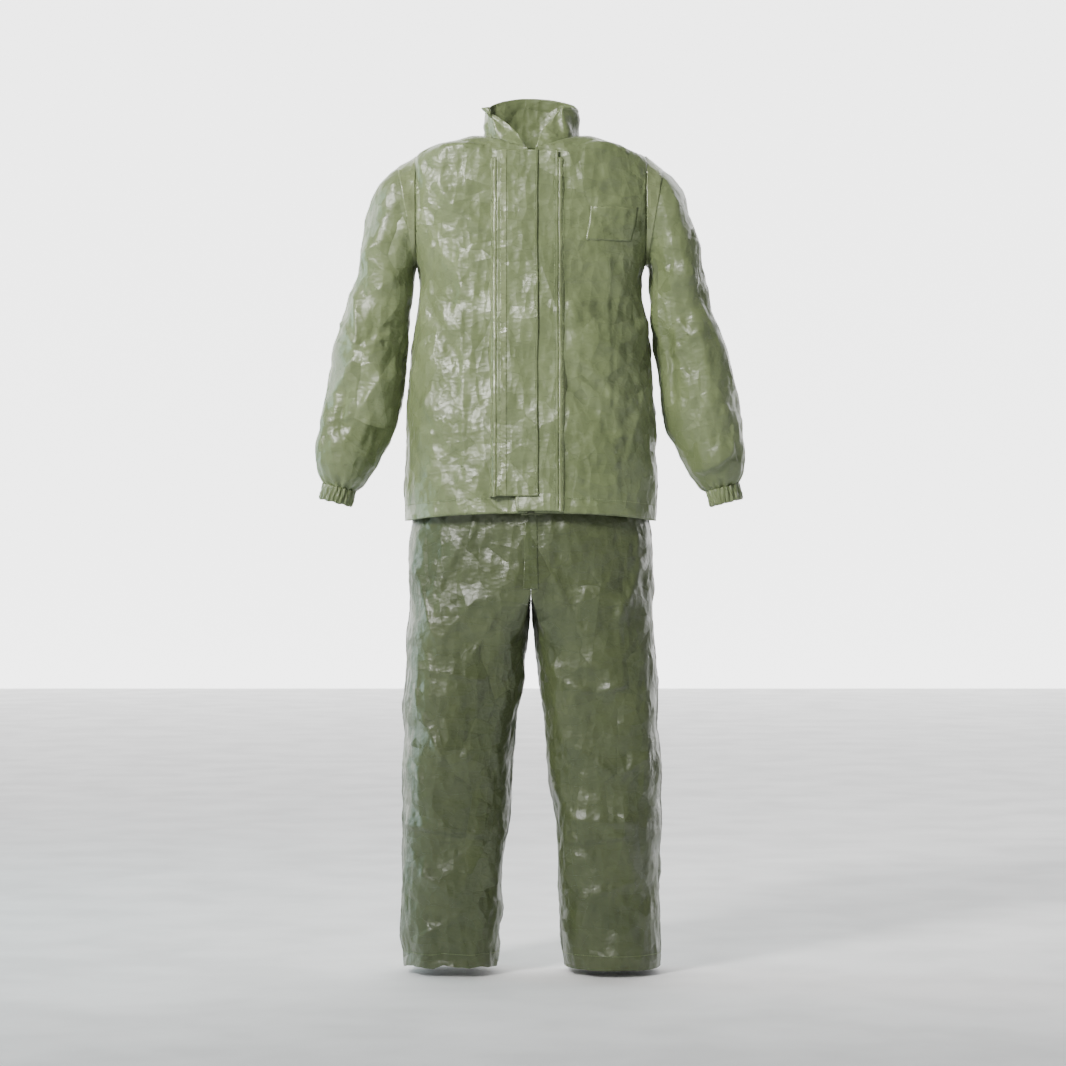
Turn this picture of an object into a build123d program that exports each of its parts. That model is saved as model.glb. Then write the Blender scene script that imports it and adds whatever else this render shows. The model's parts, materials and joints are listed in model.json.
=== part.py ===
"""Chemical protective suit: a zipped jacket with a double storm flap, worn over elasticated trousers.

Millimetres. +Z is up, the front faces -Y and the wearer's left is +X. The origin is the centre of
the trousers' waist opening. Each cloth panel is a thin closed shell with its real opening.
"""

import math
import os
from collections import namedtuple

from build123d import *

# Driving dimensions
CLOTH = 2.4  # wall of a cloth panel, crinkles included
SEAM_GAP = 0.1  # between pieces sewn to each other
TAPE_GAP = 0.5  # under a seam tape, for the seam's own folded edges
BODY_GAP = 0.6  # between pieces that move apart
TAPE = 0.7  # thickness of a heat-sealed seam tape
TAPE_WIDTH = 22
HEM_TURN = 26  # height of a turned-up hem
HEM_CLOTH = 1

WAIST_HALF_WIDTH = 172
WAIST_HALF_DEPTH = 116
WAISTBAND_HEIGHT = 38
CROTCH = -293
KNEE = -490
ANKLE = -958

JACKET_HEM = -160
ARMHOLE_X = 203
ARMHOLE_FOOT = 262
NECK_TOP = 508
NECK_HALF_WIDTH = 90
NECK_FRONT = -83
NECK_BACK = 60
COLLAR_BACK_TOP = 592
COLLAR_FRONT_TOP = 560
COLLAR_NOTCH = 486
ZIP_OPENING = 14  # between the edges of the two front panels
COLLAR_FOOT = 488
COLLAR_CORNER_X = 84  # where the collar's front opening is widest
PATCH_X = (104, 178)
PATCH_Z = (318, 386)

SLEEVE_Y = 10  # the sleeves' middle plane
CUFF_HEIGHT = 26
CUFF_RADIUS = 29

FRONT_AT_HEM = -140  # the jacket's front line is straight from here
FRONT_AT_NECK = -85  # to here

ANGLE_STEP = 10  # degrees between the points of a cross-section
FAR = 900  # beyond every part of the suit

# A closed cross-section: its plane, its half-width, where its front and back lie along the plane's
# own Y, how square it is (2 is an ellipse), and how much wider the wall is at its sides, where the
# wall slopes.
Station = namedtuple("Station", "plane half_width front back squareness slope")


def level(height, half_width, front, back, squareness, centre=0, slope=1):
    """A horizontal station."""
    plane = Plane.XY.offset(height).move(Location((centre, 0, 0)))
    return Station(plane, half_width, front, back, squareness, slope)


def front_line(height):
    """Y of the jacket's straight front line at a height."""
    share = (height - JACKET_HEM) / (NECK_TOP - JACKET_HEM)
    return FRONT_AT_HEM + (FRONT_AT_NECK - FRONT_AT_HEM) * share


def outline_point(station, inset, degrees):
    """The point of a station's outline at an angle, drawn in by inset; 0 is +X and 90 the back."""
    angle = math.radians(degrees)
    across = math.copysign(abs(math.cos(angle)) ** (2 / station.squareness), math.cos(angle))
    along = math.copysign(abs(math.sin(angle)) ** (2 / station.squareness), math.sin(angle))
    middle = (station.front + station.back) / 2
    half_depth = (station.back - station.front) / 2 - inset
    return ((station.half_width - inset * station.slope) * across, middle + half_depth * along)


def strip(stations, outer_inset, inner_inset, start, end):
    """The wall between two insets of a run of stations, from one angle to another."""
    angles = range(start, end + 1, ANGLE_STEP)
    with BuildPart() as wall:
        for station in stations:
            outside = [outline_point(station, outer_inset, angle) for angle in angles]
            inside = [outline_point(station, inner_inset, angle) for angle in angles]
            with BuildSketch(station.plane):
                with BuildLine():
                    Spline(*outside)
                    Line(outside[-1], inside[-1])
                    Spline(*inside)
                    Line(inside[0], outside[0])
                make_face()
        loft(ruled=True)
    return wall.part


def tube(stations, outer_inset, inner_inset):
    """The whole wall between two insets: a front half and a back half, joined at the sides."""
    front_wall = strip(stations, outer_inset, inner_inset, -180, 0)
    back_wall = strip(stations, outer_inset, inner_inset, 0, 180)
    with BuildPart() as wall:
        add(front_wall)
        add(back_wall, clean=False)
    return wall.part


def block(x, y, z):
    """A box between three pairs of limits."""
    size = [limits[1] - limits[0] for limits in (x, y, z)]
    centre = tuple((limits[1] + limits[0]) / 2 for limits in (x, y, z))
    with BuildPart() as solid:
        with Locations(centre):
            Box(*size)
    return solid.part


def portion(wall, region, *holes):
    """The part of a wall inside a region, less any holes."""
    with BuildPart() as piece:
        add(wall)
        add(region, mode=Mode.INTERSECT, clean=False)
        for hole in holes:
            add(hole, mode=Mode.SUBTRACT, clean=False)
    return piece.part


def mirrored(piece):
    """The same piece on the wearer's other side."""
    with BuildPart() as other:
        mirror(piece, about=Plane.YZ)
    return other.part


pieces = {}


def keep(node, piece):
    """Names a finished piece."""
    piece.label = node
    pieces[node] = piece


def keep_pair(node, left_piece):
    """Names a piece of the wearer's left side and its mirror image."""
    keep(f"{node}_left", left_piece)
    keep(f"{node}_right", mirrored(left_piece))


# ---------------------------------------------------------------- jacket body
SHOULDER_SLOPE = 3.6
SHOULDER_FOOT = 470  # the shoulders' slope starts above here
HEM_SET_BACK = 14  # the turned-up hem stops short of the zip by this
TORSO = [
    level(JACKET_HEM, 222, FRONT_AT_HEM, 132, 2.4),
    level(0, 221, front_line(0), 128, 2.4),
    level(170, 209, front_line(170), 134, 2.5),
    level(260, 199, front_line(260), 133, 2.6),
    level(300, 207, front_line(300), 130, 2.8),
    level(340, 218, front_line(340), 126, 2.9),
    level(380, 225, front_line(380), 120, 3.0),
    level(440, 217, front_line(440), 104, 3.0),
    level(476, 203, front_line(476), 92, 3.0, slope=1.8),
    level(492, 148, front_line(492), 78, 2.6, slope=SHOULDER_SLOPE),
    level(NECK_TOP, NECK_HALF_WIDTH + 2, FRONT_AT_NECK, NECK_BACK + 2, 2.2, slope=SHOULDER_SLOPE),
]
neck_outline = level(0, NECK_HALF_WIDTH, NECK_FRONT, NECK_BACK, 2.2)
with BuildPart() as neck_hole_part:
    with BuildSketch(Plane.XY.offset(NECK_TOP - 40)):
        with BuildLine():
            Spline(*[outline_point(neck_outline, 0, 15 * step) for step in range(24)], periodic=True)
        make_face()
    extrude(amount=80)
neck_hole = neck_hole_part.part

half_seam = SEAM_GAP / 2
half_tape = TAPE_WIDTH / 2
left_armhole = block((ARMHOLE_X, FAR), (-FAR, FAR), (ARMHOLE_FOOT, FAR))
right_armhole = block((-FAR, -ARMHOLE_X), (-FAR, FAR), (ARMHOLE_FOOT, FAR))

keep_pair(
    "jacket_front",
    portion(
        strip(TORSO, 0, CLOTH, -90, 0),
        block((ZIP_OPENING / 2, FAR), (-FAR, -half_seam), (-FAR, FAR)),
        neck_hole,
        left_armhole,
    ),
)
keep(
    "jacket_back",
    portion(
        strip(TORSO, 0, CLOTH, 0, 180),
        block((-FAR, FAR), (half_seam, FAR), (-FAR, FAR)),
        neck_hole,
        left_armhole,
        right_armhole,
    ),
)

# Sealing tapes lie on the outside of the seams
side_wall = strip(TORSO, -TAPE_GAP - TAPE, -TAPE_GAP, -30, 30)
keep_pair(
    "side_seam_tape",
    portion(
        side_wall,
        block((100, FAR), (-half_tape, half_tape), (JACKET_HEM + 1, ARMHOLE_FOOT)),
    ),
)
keep_pair(
    "shoulder_seam_tape",
    portion(
        side_wall,
        block((NECK_HALF_WIDTH + 8, ARMHOLE_X - 8), (-half_tape, half_tape), (SHOULDER_FOOT, FAR)),
    ),
)

# Turned-up hem inside the jacket's lower edge
hem_layer = (CLOTH + SEAM_GAP, CLOTH + SEAM_GAP + HEM_CLOTH)
hem_height = (JACKET_HEM, JACKET_HEM + HEM_TURN)
keep_pair(
    "hem_facing_front",
    portion(
        strip(TORSO[:2], *hem_layer, -90, 0),
        block((ZIP_OPENING / 2 + HEM_SET_BACK, FAR), (-FAR, -half_seam), hem_height),
    ),
)
keep(
    "hem_facing_back",
    portion(strip(TORSO[:2], *hem_layer, 0, 180), block((-FAR, FAR), (half_seam, FAR), hem_height)),
)

# A plain sealed patch on the wearer's left chest
keep(
    "chest_patch",
    portion(
        strip(TORSO, -TAPE_GAP - TAPE, -TAPE_GAP, -90, -20),
        block(PATCH_X, (-FAR, 0), PATCH_Z),
    ),
)

# ---------------------------------------------------------------- collar
collar_stations = [
    level(478, NECK_HALF_WIDTH - 0.2, NECK_FRONT + 0.2, NECK_BACK - 0.2, 2.2),
    level(NECK_TOP, NECK_HALF_WIDTH - 0.2, NECK_FRONT + 0.2, NECK_BACK - 0.2, 2.2),
    level(550, NECK_HALF_WIDTH - 1, NECK_FRONT + 1, NECK_BACK, 2.2),
    level(COLLAR_BACK_TOP + 2, NECK_HALF_WIDTH - 4, NECK_FRONT + 4, NECK_BACK - 2, 2.2),
]
with BuildPart() as collar_opening:
    with BuildSketch(Plane.XZ):
        with BuildLine():
            Polyline(
                (-ZIP_OPENING / 2, COLLAR_FOOT - 10),
                (-ZIP_OPENING / 2, COLLAR_NOTCH),
                (-COLLAR_CORNER_X, COLLAR_FRONT_TOP),
                (-FAR, COLLAR_FRONT_TOP),
                (-FAR, FAR),
                (FAR, FAR),
                (FAR, COLLAR_FRONT_TOP),
                (COLLAR_CORNER_X, COLLAR_FRONT_TOP),
                (ZIP_OPENING / 2, COLLAR_NOTCH),
                (ZIP_OPENING / 2, COLLAR_FOOT - 10),
                close=True,
            )
        make_face()
    extrude(amount=FAR)
with BuildPart() as above_collar:
    with BuildSketch(Plane.YZ):
        with BuildLine():
            Polyline(
                (-FAR, COLLAR_FRONT_TOP),
                (0, COLLAR_FRONT_TOP),
                (NECK_BACK, COLLAR_BACK_TOP),
                (FAR, COLLAR_BACK_TOP),
                (FAR, FAR),
                (-FAR, FAR),
                close=True,
            )
        make_face()
    extrude(amount=FAR, both=True)
keep(
    "collar",
    portion(
        tube(collar_stations, 0, CLOTH),
        block((-FAR, FAR), (-FAR, FAR), (COLLAR_FOOT, FAR)),
        collar_opening.part,
        above_collar.part,
    ),
)

# ---------------------------------------------------------------- front closure
# The closure lies in one tilted plane: X across, Y up the zip, Z outwards, from the hem's front.
tilt = math.atan2(FRONT_AT_NECK - FRONT_AT_HEM, NECK_TOP - JACKET_HEM)
closure = Plane(
    origin=(0, FRONT_AT_HEM, JACKET_HEM),
    x_dir=(1, 0, 0),
    z_dir=(0, -math.cos(tilt), math.sin(tilt)),
)
CLOSURE_TOP = 636
ZIP_DEPTH = -3.0  # the zip's middle, behind the front panels' outer face
ZIP_TAPE = 0.8
ZIP_TAPE_EDGE = 17
COIL_INNER = 0.8
COIL_OUTER = 3.0
COIL_HALF_THICKNESS = 1.2
RETAINER_HEIGHT = 10
COIL_TOP = 616
SLIDER_LENGTH = 14
SLIDER_HALF_WIDTH = 4.6
PLATE = 1.2
TAPE_SLOT = 0.75  # half the slot that lets the tape through the slider's side
BAR_RADIUS = 0.7
BAR_OUT = 1.3  # the pull bar's height off the panels
TAB_LENGTH = 26

INNER_FLAP = (3.0, 4.0)
LOOP = (4.0, 4.6)
HOOK = (4.9, 5.6)
OUTER_FLAP = (5.6, 6.8)
OUTER_FLAP_X = (-60, 12)
INNER_FLAP_X = (-26, 48)
ROOT_WIDTH = 10
FASTENER_X = (-8, 8)


def slab(x, up, out):
    """A box in the closure's own plane."""
    with BuildPart() as solid:
        with BuildSketch(closure.offset(out[0])):
            with Locations(((x[0] + x[1]) / 2, (up[0] + up[1]) / 2)):
                Rectangle(x[1] - x[0], up[1] - up[0])
        extrude(amount=out[1] - out[0])
    return solid.part


keep_pair(
    "zip_tape",
    slab((COIL_OUTER, ZIP_TAPE_EDGE), (1, CLOSURE_TOP - 10), (ZIP_DEPTH - ZIP_TAPE / 2, ZIP_DEPTH + ZIP_TAPE / 2)),
)
keep_pair(
    "zip_coil",
    slab(
        (COIL_INNER, COIL_OUTER),
        (RETAINER_HEIGHT + 2, COIL_TOP),
        (ZIP_DEPTH - COIL_HALF_THICKNESS, ZIP_DEPTH + COIL_HALF_THICKNESS),
    ),
)
with BuildPart() as top_stops:
    for stop_x in ((COIL_INNER, COIL_OUTER), (-COIL_OUTER, -COIL_INNER)):
        add(slab(stop_x, (COIL_TOP + 0.1, COIL_TOP + 4), (ZIP_DEPTH - 1.6, ZIP_DEPTH + 1.6)))
keep("zip_top_stops", top_stops.part)
with BuildPart() as retainer:
    with BuildSketch(closure.offset(ZIP_DEPTH - 2.2)):
        with Locations((0, RETAINER_HEIGHT / 2 + 2)):
            RectangleRounded(9.2, RETAINER_HEIGHT, 1.2)
    extrude(amount=4.4)
    for tape_x in ((COIL_OUTER - 0.1, ZIP_TAPE_EDGE), (-ZIP_TAPE_EDGE, 0.1 - COIL_OUTER)):
        add(
            slab(tape_x, (-1, RETAINER_HEIGHT + 4), (ZIP_DEPTH - 0.42, ZIP_DEPTH + 0.42)),
            mode=Mode.SUBTRACT,
        )
keep("zip_retainer_box", retainer.part)

# Slider: two plates, two side flanges with a slot for the tape, and a divider between the coils
slider_up = (COIL_TOP - 1 - SLIDER_LENGTH, COIL_TOP - 1)
slider_middle = sum(slider_up) / 2
with BuildPart() as slider:
    with BuildSketch(closure.offset(ZIP_DEPTH - 1.5 - PLATE)):
        with Locations((0, slider_middle)):
            RectangleRounded(2 * SLIDER_HALF_WIDTH, SLIDER_LENGTH, 2)
    extrude(amount=2 * (1.5 + PLATE))
    add(
        slab((-3.4, 3.4), (0, FAR), (ZIP_DEPTH - 1.5, ZIP_DEPTH + 1.5)),
        mode=Mode.SUBTRACT,
    )
    add(
        slab((-20, 20), (0, FAR), (ZIP_DEPTH - TAPE_SLOT, ZIP_DEPTH + TAPE_SLOT)),
        mode=Mode.SUBTRACT,
    )
    add(slab((-0.5, 0.5), (slider_up[1] - 6, slider_up[1]), (ZIP_DEPTH - 1.6, ZIP_DEPTH + 1.6)))
    for side in (-1, 1):
        lug_x = sorted((side * 2.8, side * 3.8))
        add(slab(lug_x, (slider_up[1] - 7, slider_up[1] - 3), (ZIP_DEPTH + 1.5 + PLATE / 2, BAR_OUT + 1)))
    with BuildSketch(Plane(closure.origin, x_dir=closure.y_dir, z_dir=closure.x_dir).offset(-3.4)):
        with Locations((slider_up[1] - 5, BAR_OUT)):
            Circle(BAR_RADIUS)
    extrude(amount=6.8)
keep("zip_slider", slider.part)

with BuildPart() as pull_tab:
    with BuildSketch(Plane(closure.origin, x_dir=closure.y_dir, z_dir=closure.x_dir).offset(-2.4)):
        with Locations((slider_up[1] - 5, BAR_OUT)):
            Circle(1.15)
    extrude(amount=4.8)
    with BuildSketch(closure.offset(BAR_OUT - 0.5)):
        with Locations((0, slider_up[1] - 5 - TAB_LENGTH / 2)):
            RectangleRounded(5.6, TAB_LENGTH, 1.5)
    extrude(amount=1)
    with BuildSketch(Plane(closure.origin, x_dir=closure.y_dir, z_dir=closure.x_dir).offset(-3.4)):
        with Locations((slider_up[1] - 5, BAR_OUT)):
            Circle(BAR_RADIUS + 0.08)
    extrude(amount=6.8, mode=Mode.SUBTRACT)
keep("zip_pull_tab", pull_tab.part)

# Storm flaps: flat cloth on a sewn root, with a hook strip facing a loop strip
FLAP_TOP = CLOSURE_TOP - 8
OUTER_FLAP_FOOT = 32
INNER_FLAP_FOOT = 6
keep("storm_flap_outer", slab(OUTER_FLAP_X, (OUTER_FLAP_FOOT, FLAP_TOP), OUTER_FLAP))
keep("hook_strip", slab(FASTENER_X, (OUTER_FLAP_FOOT + 10, FLAP_TOP - 60), HOOK))
keep("storm_flap_inner", slab(INNER_FLAP_X, (INNER_FLAP_FOOT, FLAP_TOP), INNER_FLAP))
keep("loop_strip", slab(FASTENER_X, (OUTER_FLAP_FOOT + 10, FLAP_TOP - 60), LOOP))
under_roots = strip(TORSO, 0, 40, -140, -40)
outer_root_x = (OUTER_FLAP_X[0] - BODY_GAP - ROOT_WIDTH, OUTER_FLAP_X[0] - BODY_GAP)
inner_root_x = (INNER_FLAP_X[1] + BODY_GAP, INNER_FLAP_X[1] + BODY_GAP + ROOT_WIDTH)
for node, root_x, foot, out in (
    ("storm_flap_outer_root", outer_root_x, OUTER_FLAP_FOOT, OUTER_FLAP[1]),
    ("storm_flap_inner_root", inner_root_x, INNER_FLAP_FOOT, INNER_FLAP[1]),
):
    with BuildPart() as root:
        add(slab(root_x, (foot, FLAP_TOP), (-12, out)))
        add(under_roots, mode=Mode.SUBTRACT)
    keep(node, root.part)

# ---------------------------------------------------------------- sleeves
# Each station runs from its point nearest the body to its outer point, in the sleeve's middle plane.


def sleeve_station(inner, outer, half_depth, squareness=2.2):
    """A station of the wearer's left sleeve, square to the sleeve there."""
    across = Vector(outer[0] - inner[0], 0, outer[1] - inner[1])
    middle = ((inner[0] + outer[0]) / 2, SLEEVE_Y, (inner[1] + outer[1]) / 2)
    plane = Plane(origin=middle, x_dir=across, z_dir=across.cross(Vector(0, 1, 0)))
    return Station(plane, across.length / 2, -half_depth, half_depth, squareness, 1)


ARMHOLE = sleeve_station((ARMHOLE_X + BODY_GAP, 288), (ARMHOLE_X + BODY_GAP, 480), 71)
ELBOW = sleeve_station((218.5, 143), (341, 160), 62)
UPPER_SLEEVE = [
    ARMHOLE,
    sleeve_station((209, 280), (259, 437), 71),
    sleeve_station((211, 263), (288, 372), 69),
    sleeve_station((210, 232), (306, 278), 66),
    sleeve_station((212, 192), (325, 214), 63),
    ELBOW,
]
CUFF_AXIS = Vector(0.252, 0, -0.968)
CUFF_CENTRE = Vector(345, SLEEVE_Y, -122)
cuff_mouth = CUFF_CENTRE - CUFF_AXIS * (CUFF_HEIGHT / 2 + SEAM_GAP)
CUFF_ACROSS = Vector(0.968, 0, 0.252)
LOWER_SLEEVE = [
    ELBOW,
    sleeve_station((231, 50), (364, 70), 62),
    sleeve_station((247, -14), (380, 8), 58),
    sleeve_station((270, -62), (384, -42), 52),
    sleeve_station((290, -92), (383, -70), 44),
    Station(
        Plane(origin=cuff_mouth, x_dir=CUFF_ACROSS, z_dir=-CUFF_AXIS), CUFF_RADIUS, -CUFF_RADIUS, CUFF_RADIUS, 2, 1
    ),
]
above_elbow = ELBOW.plane.from_local_coords(block((-FAR, FAR), (-FAR, FAR), (BODY_GAP / 2, FAR)))
below_elbow = ELBOW.plane.from_local_coords(block((-FAR, FAR), (-FAR, FAR), (-FAR, -BODY_GAP / 2)))

keep_pair("sleeve_upper", portion(tube(UPPER_SLEEVE, 0, CLOTH), above_elbow))
keep_pair("sleeve_lower", portion(tube(LOWER_SLEEVE, 0, CLOTH), below_elbow))

upper_tape = strip(UPPER_SLEEVE, -TAPE_GAP - TAPE, -TAPE_GAP, 150, 210)
lower_tape = strip(LOWER_SLEEVE, -TAPE_GAP - TAPE, -TAPE_GAP, 150, 210)
tape_y = (SLEEVE_Y - half_tape, SLEEVE_Y + half_tape)
keep_pair(
    "armhole_seam_tape",
    portion(
        tube(UPPER_SLEEVE[:3], -TAPE_GAP - TAPE, -TAPE_GAP),
        block((ARMHOLE_X + BODY_GAP, ARMHOLE_X + 18), (-FAR, FAR), (283, FAR)),
    ),
)
underarm_upper = ELBOW.plane.from_local_coords(block((-FAR, 0), (-half_tape, half_tape), (2, 90)))
underarm_lower = ELBOW.plane.from_local_coords(block((-FAR, 0), (-half_tape, half_tape), (-215, -2)))
keep_pair("underarm_tape_upper", portion(upper_tape, underarm_upper))
keep_pair("underarm_tape_lower", portion(lower_tape, underarm_lower))

# Cuff: a gathered band with an elastic ring against its inner face
ELASTIC_FIT = 0.2
CUFF_BAND = 2.0  # wall of the gathered band
CUFF_ELASTIC = 2.4
cuff_plane = Plane(origin=CUFF_CENTRE, x_dir=CUFF_ACROSS, z_dir=-CUFF_AXIS)


def cuff_ring(inner_radius, outer_radius, height):
    """A ring round the cuff's axis."""
    with BuildPart() as ring:
        with BuildSketch(cuff_plane.offset(-height / 2)):
            Circle(outer_radius)
            Circle(inner_radius, mode=Mode.SUBTRACT)
        extrude(amount=height)
    return ring.part


elastic_outer = CUFF_RADIUS - CUFF_BAND - ELASTIC_FIT
keep_pair("cuff_casing", cuff_ring(CUFF_RADIUS - CUFF_BAND, CUFF_RADIUS, CUFF_HEIGHT))
keep_pair("cuff_elastic", cuff_ring(elastic_outer - CUFF_ELASTIC, elastic_outer, CUFF_HEIGHT - 6))

# ---------------------------------------------------------------- trousers
HIPS = [
    level(CROTCH, 219, -118, 114, 2.6),
    level(-220, 216, -120, 118, 2.5),
    level(-140, 208, -118, 116, 2.4),
    level(-60, 190, -112, 112, 2.3),
    level(-WAISTBAND_HEIGHT, WAIST_HALF_WIDTH + 8, -WAIST_HALF_DEPTH + 4, WAIST_HALF_DEPTH - 4, 2.2),
]
hip_height = (CROTCH + BODY_GAP, -WAISTBAND_HEIGHT)
keep_pair(
    "hip_panel", portion(tube(HIPS, 0, CLOTH), block((half_seam, FAR), (-FAR, FAR), hip_height))
)

# Waistband: a gathered band with an elastic band against its inner face
BAND = [
    level(-WAISTBAND_HEIGHT + SEAM_GAP, WAIST_HALF_WIDTH + 8, -WAIST_HALF_DEPTH + 4, WAIST_HALF_DEPTH - 4, 2.2),
    level(0, WAIST_HALF_WIDTH, -WAIST_HALF_DEPTH + 4, WAIST_HALF_DEPTH - 4, 2.2),
]
WAIST_ELASTIC = 2.6
keep("waistband_casing", tube(BAND, 0, CLOTH))
keep(
    "waist_elastic",
    portion(
        tube(BAND, CLOTH + ELASTIC_FIT, CLOTH + ELASTIC_FIT + WAIST_ELASTIC),
        block((-FAR, FAR), (-FAR, FAR), (-WAISTBAND_HEIGHT + 5, -5)),
    ),
)

# Rise seam tapes run from the waistband to the crotch, front and back
hip_tape = tube(HIPS, -TAPE_GAP - TAPE, -TAPE_GAP)
rise_height = (CROTCH + BODY_GAP, -WAISTBAND_HEIGHT - 1)
keep("rise_tape_front", portion(hip_tape, block((-half_tape, half_tape), (-FAR, 0), rise_height)))
keep("rise_tape_back", portion(hip_tape, block((-half_tape, half_tape), (0, FAR), rise_height)))

LEG = [
    level(CROTCH, 107.5, -116, 112, 2.8, centre=111),
    level(-357, 108, -110, 108, 2.6, centre=113),
    level(KNEE, 103.5, -102, 100, 2.4, centre=122),
    level(-600, 99, -96, 96, 2.4, centre=130),
    level(-716, 94, -92, 92, 2.4, centre=136),
    level(-887, 88, -88, 86, 2.4, centre=142),
    level(ANKLE, 85, -86, 84, 2.4, centre=142),
]
leg_wall = tube(LEG, 0, CLOTH)
leg_tape = tube(LEG, -TAPE_GAP - TAPE, -TAPE_GAP)
leg_hem = tube(LEG[-2:], *hem_layer)
thigh_height = (KNEE + BODY_GAP / 2, CROTCH)
shin_height = (ANKLE, KNEE - BODY_GAP / 2)
keep_pair("thigh", portion(leg_wall, block((-FAR, FAR), (-FAR, FAR), thigh_height)))
keep_pair("shin", portion(leg_wall, block((-FAR, FAR), (-FAR, FAR), shin_height)))
for node, side_x in (("outseam_tape", (122, FAR)), ("inseam_tape", (-FAR, 122))):
    for segment, height in (("thigh", thigh_height), ("shin", shin_height)):
        inside_ends = (height[0] + 2, height[1] - 2)
        keep_pair(
            f"{node}_{segment}",
            portion(leg_tape, block(side_x, (-half_tape, half_tape), inside_ends)),
        )
keep_pair("ankle_hem", portion(leg_hem, block((-FAR, FAR), (-FAR, FAR), (ANKLE, ANKLE + HEM_TURN))))

# ---------------------------------------------------------------- export
os.makedirs("parts", exist_ok=True)
for node, piece in pieces.items():
    export_step(piece, f"parts/{node}.step")
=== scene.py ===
"""The looks of the chemical protective suit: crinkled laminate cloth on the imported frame.

Metres, in the frame's own axes: +Z up, +X to the wearer's left, the front faces -Y. Each cloth part
is a grid of rows and columns: a smooth shape from the frame's sizes, buckled by a cloth simulation,
then creased. Tapes, hems and stitches are taken from the finished cloth, so they lie on it.
"""

import json
import math

import bpy
import numpy as np
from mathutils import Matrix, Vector


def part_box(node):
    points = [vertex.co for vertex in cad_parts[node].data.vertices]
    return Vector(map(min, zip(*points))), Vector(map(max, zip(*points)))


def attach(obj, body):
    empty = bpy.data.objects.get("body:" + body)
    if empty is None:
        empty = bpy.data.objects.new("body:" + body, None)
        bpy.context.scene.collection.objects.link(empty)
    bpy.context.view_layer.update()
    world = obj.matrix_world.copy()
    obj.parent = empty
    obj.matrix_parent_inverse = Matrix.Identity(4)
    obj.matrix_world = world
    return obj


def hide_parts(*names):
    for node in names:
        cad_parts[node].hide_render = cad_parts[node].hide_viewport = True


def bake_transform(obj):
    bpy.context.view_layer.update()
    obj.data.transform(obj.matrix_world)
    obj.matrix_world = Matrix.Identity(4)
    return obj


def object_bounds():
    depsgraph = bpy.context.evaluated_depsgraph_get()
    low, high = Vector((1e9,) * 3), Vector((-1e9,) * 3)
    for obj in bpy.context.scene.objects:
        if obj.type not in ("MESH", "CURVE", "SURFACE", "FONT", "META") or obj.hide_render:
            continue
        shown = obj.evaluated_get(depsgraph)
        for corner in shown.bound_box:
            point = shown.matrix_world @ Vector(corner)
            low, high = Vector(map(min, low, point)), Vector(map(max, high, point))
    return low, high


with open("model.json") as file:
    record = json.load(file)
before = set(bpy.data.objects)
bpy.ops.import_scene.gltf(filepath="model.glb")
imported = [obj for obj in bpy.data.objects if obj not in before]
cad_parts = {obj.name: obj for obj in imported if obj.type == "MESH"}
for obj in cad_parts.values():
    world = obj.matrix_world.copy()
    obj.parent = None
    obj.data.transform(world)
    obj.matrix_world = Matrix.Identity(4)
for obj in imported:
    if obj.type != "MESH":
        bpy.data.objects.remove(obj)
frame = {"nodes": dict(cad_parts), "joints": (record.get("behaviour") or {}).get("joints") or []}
CAD_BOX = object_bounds()

# ------------------------------------------------------------------ sizes taken from the frame
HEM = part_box("jacket_back")[0][2]
NECK_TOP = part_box("jacket_back")[1][2]
TORSO_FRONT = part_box("jacket_front_left")[0][1]
TORSO_HALF_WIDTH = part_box("jacket_front_left")[1][0]
ARMHOLE_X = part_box("sleeve_upper_left")[0][0]
SLEEVE_Y = (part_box("sleeve_upper_left")[0][1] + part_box("sleeve_upper_left")[1][1]) / 2
COLLAR_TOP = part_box("collar")[1][2]
NECK_HALF_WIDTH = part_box("collar")[1][0]
NECK_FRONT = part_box("collar")[0][1]
NECK_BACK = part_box("collar")[1][1]
WAISTBAND_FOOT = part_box("waistband_casing")[0][2]
WAIST_HALF_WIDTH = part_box("waistband_casing")[1][0]
WAIST_HALF_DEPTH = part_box("waistband_casing")[1][1]
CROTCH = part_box("thigh_left")[1][2]
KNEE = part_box("shin_left")[1][2]
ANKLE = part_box("shin_left")[0][2]
JOINTS = {joint["name"]: joint for joint in frame["joints"]}
ELBOW = Vector(JOINTS["elbow_left"]["pos_m"])

CLOTH = 0.0008  # thickness of the laminate
COARSE = 0.013  # grid spacing of the simulated cloth
FINER = 3  # how many times finer the finished cloth is
FURTHEST_SHIFT = 0.022  # the most that the simulation may move a point


# ------------------------------------------------------------------ curves and sections
def through(places, values, at):
    """A smooth curve through values at rising places."""
    places = np.asarray(places, float)
    values = np.asarray(values, float)
    slopes = np.gradient(values, places, axis=0)
    index = np.clip(np.searchsorted(places, at, side="right") - 1, 0, len(places) - 2)
    gap = places[index + 1] - places[index]
    t = (at - places[index]) / gap
    if values.ndim > 1:
        gap = gap[:, None]
        t = t[:, None]
    return (
        values[index] * (1 + 2 * t) * (1 - t) ** 2
        + slopes[index] * gap * t * (1 - t) ** 2
        + values[index + 1] * t * t * (3 - 2 * t)
        + slopes[index + 1] * gap * t * t * (t - 1)
    )


def section(angle, half_width, front, back, squareness):
    """X and Y round a rounded section; angle 0 is +X and a quarter turn the back."""
    across = np.sign(np.cos(angle)) * np.abs(np.cos(angle)) ** (2 / squareness)
    along = np.sign(np.sin(angle)) * np.abs(np.sin(angle)) ** (2 / squareness)
    return half_width * across, (front + back) / 2 + (back - front) / 2 * along


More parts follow.
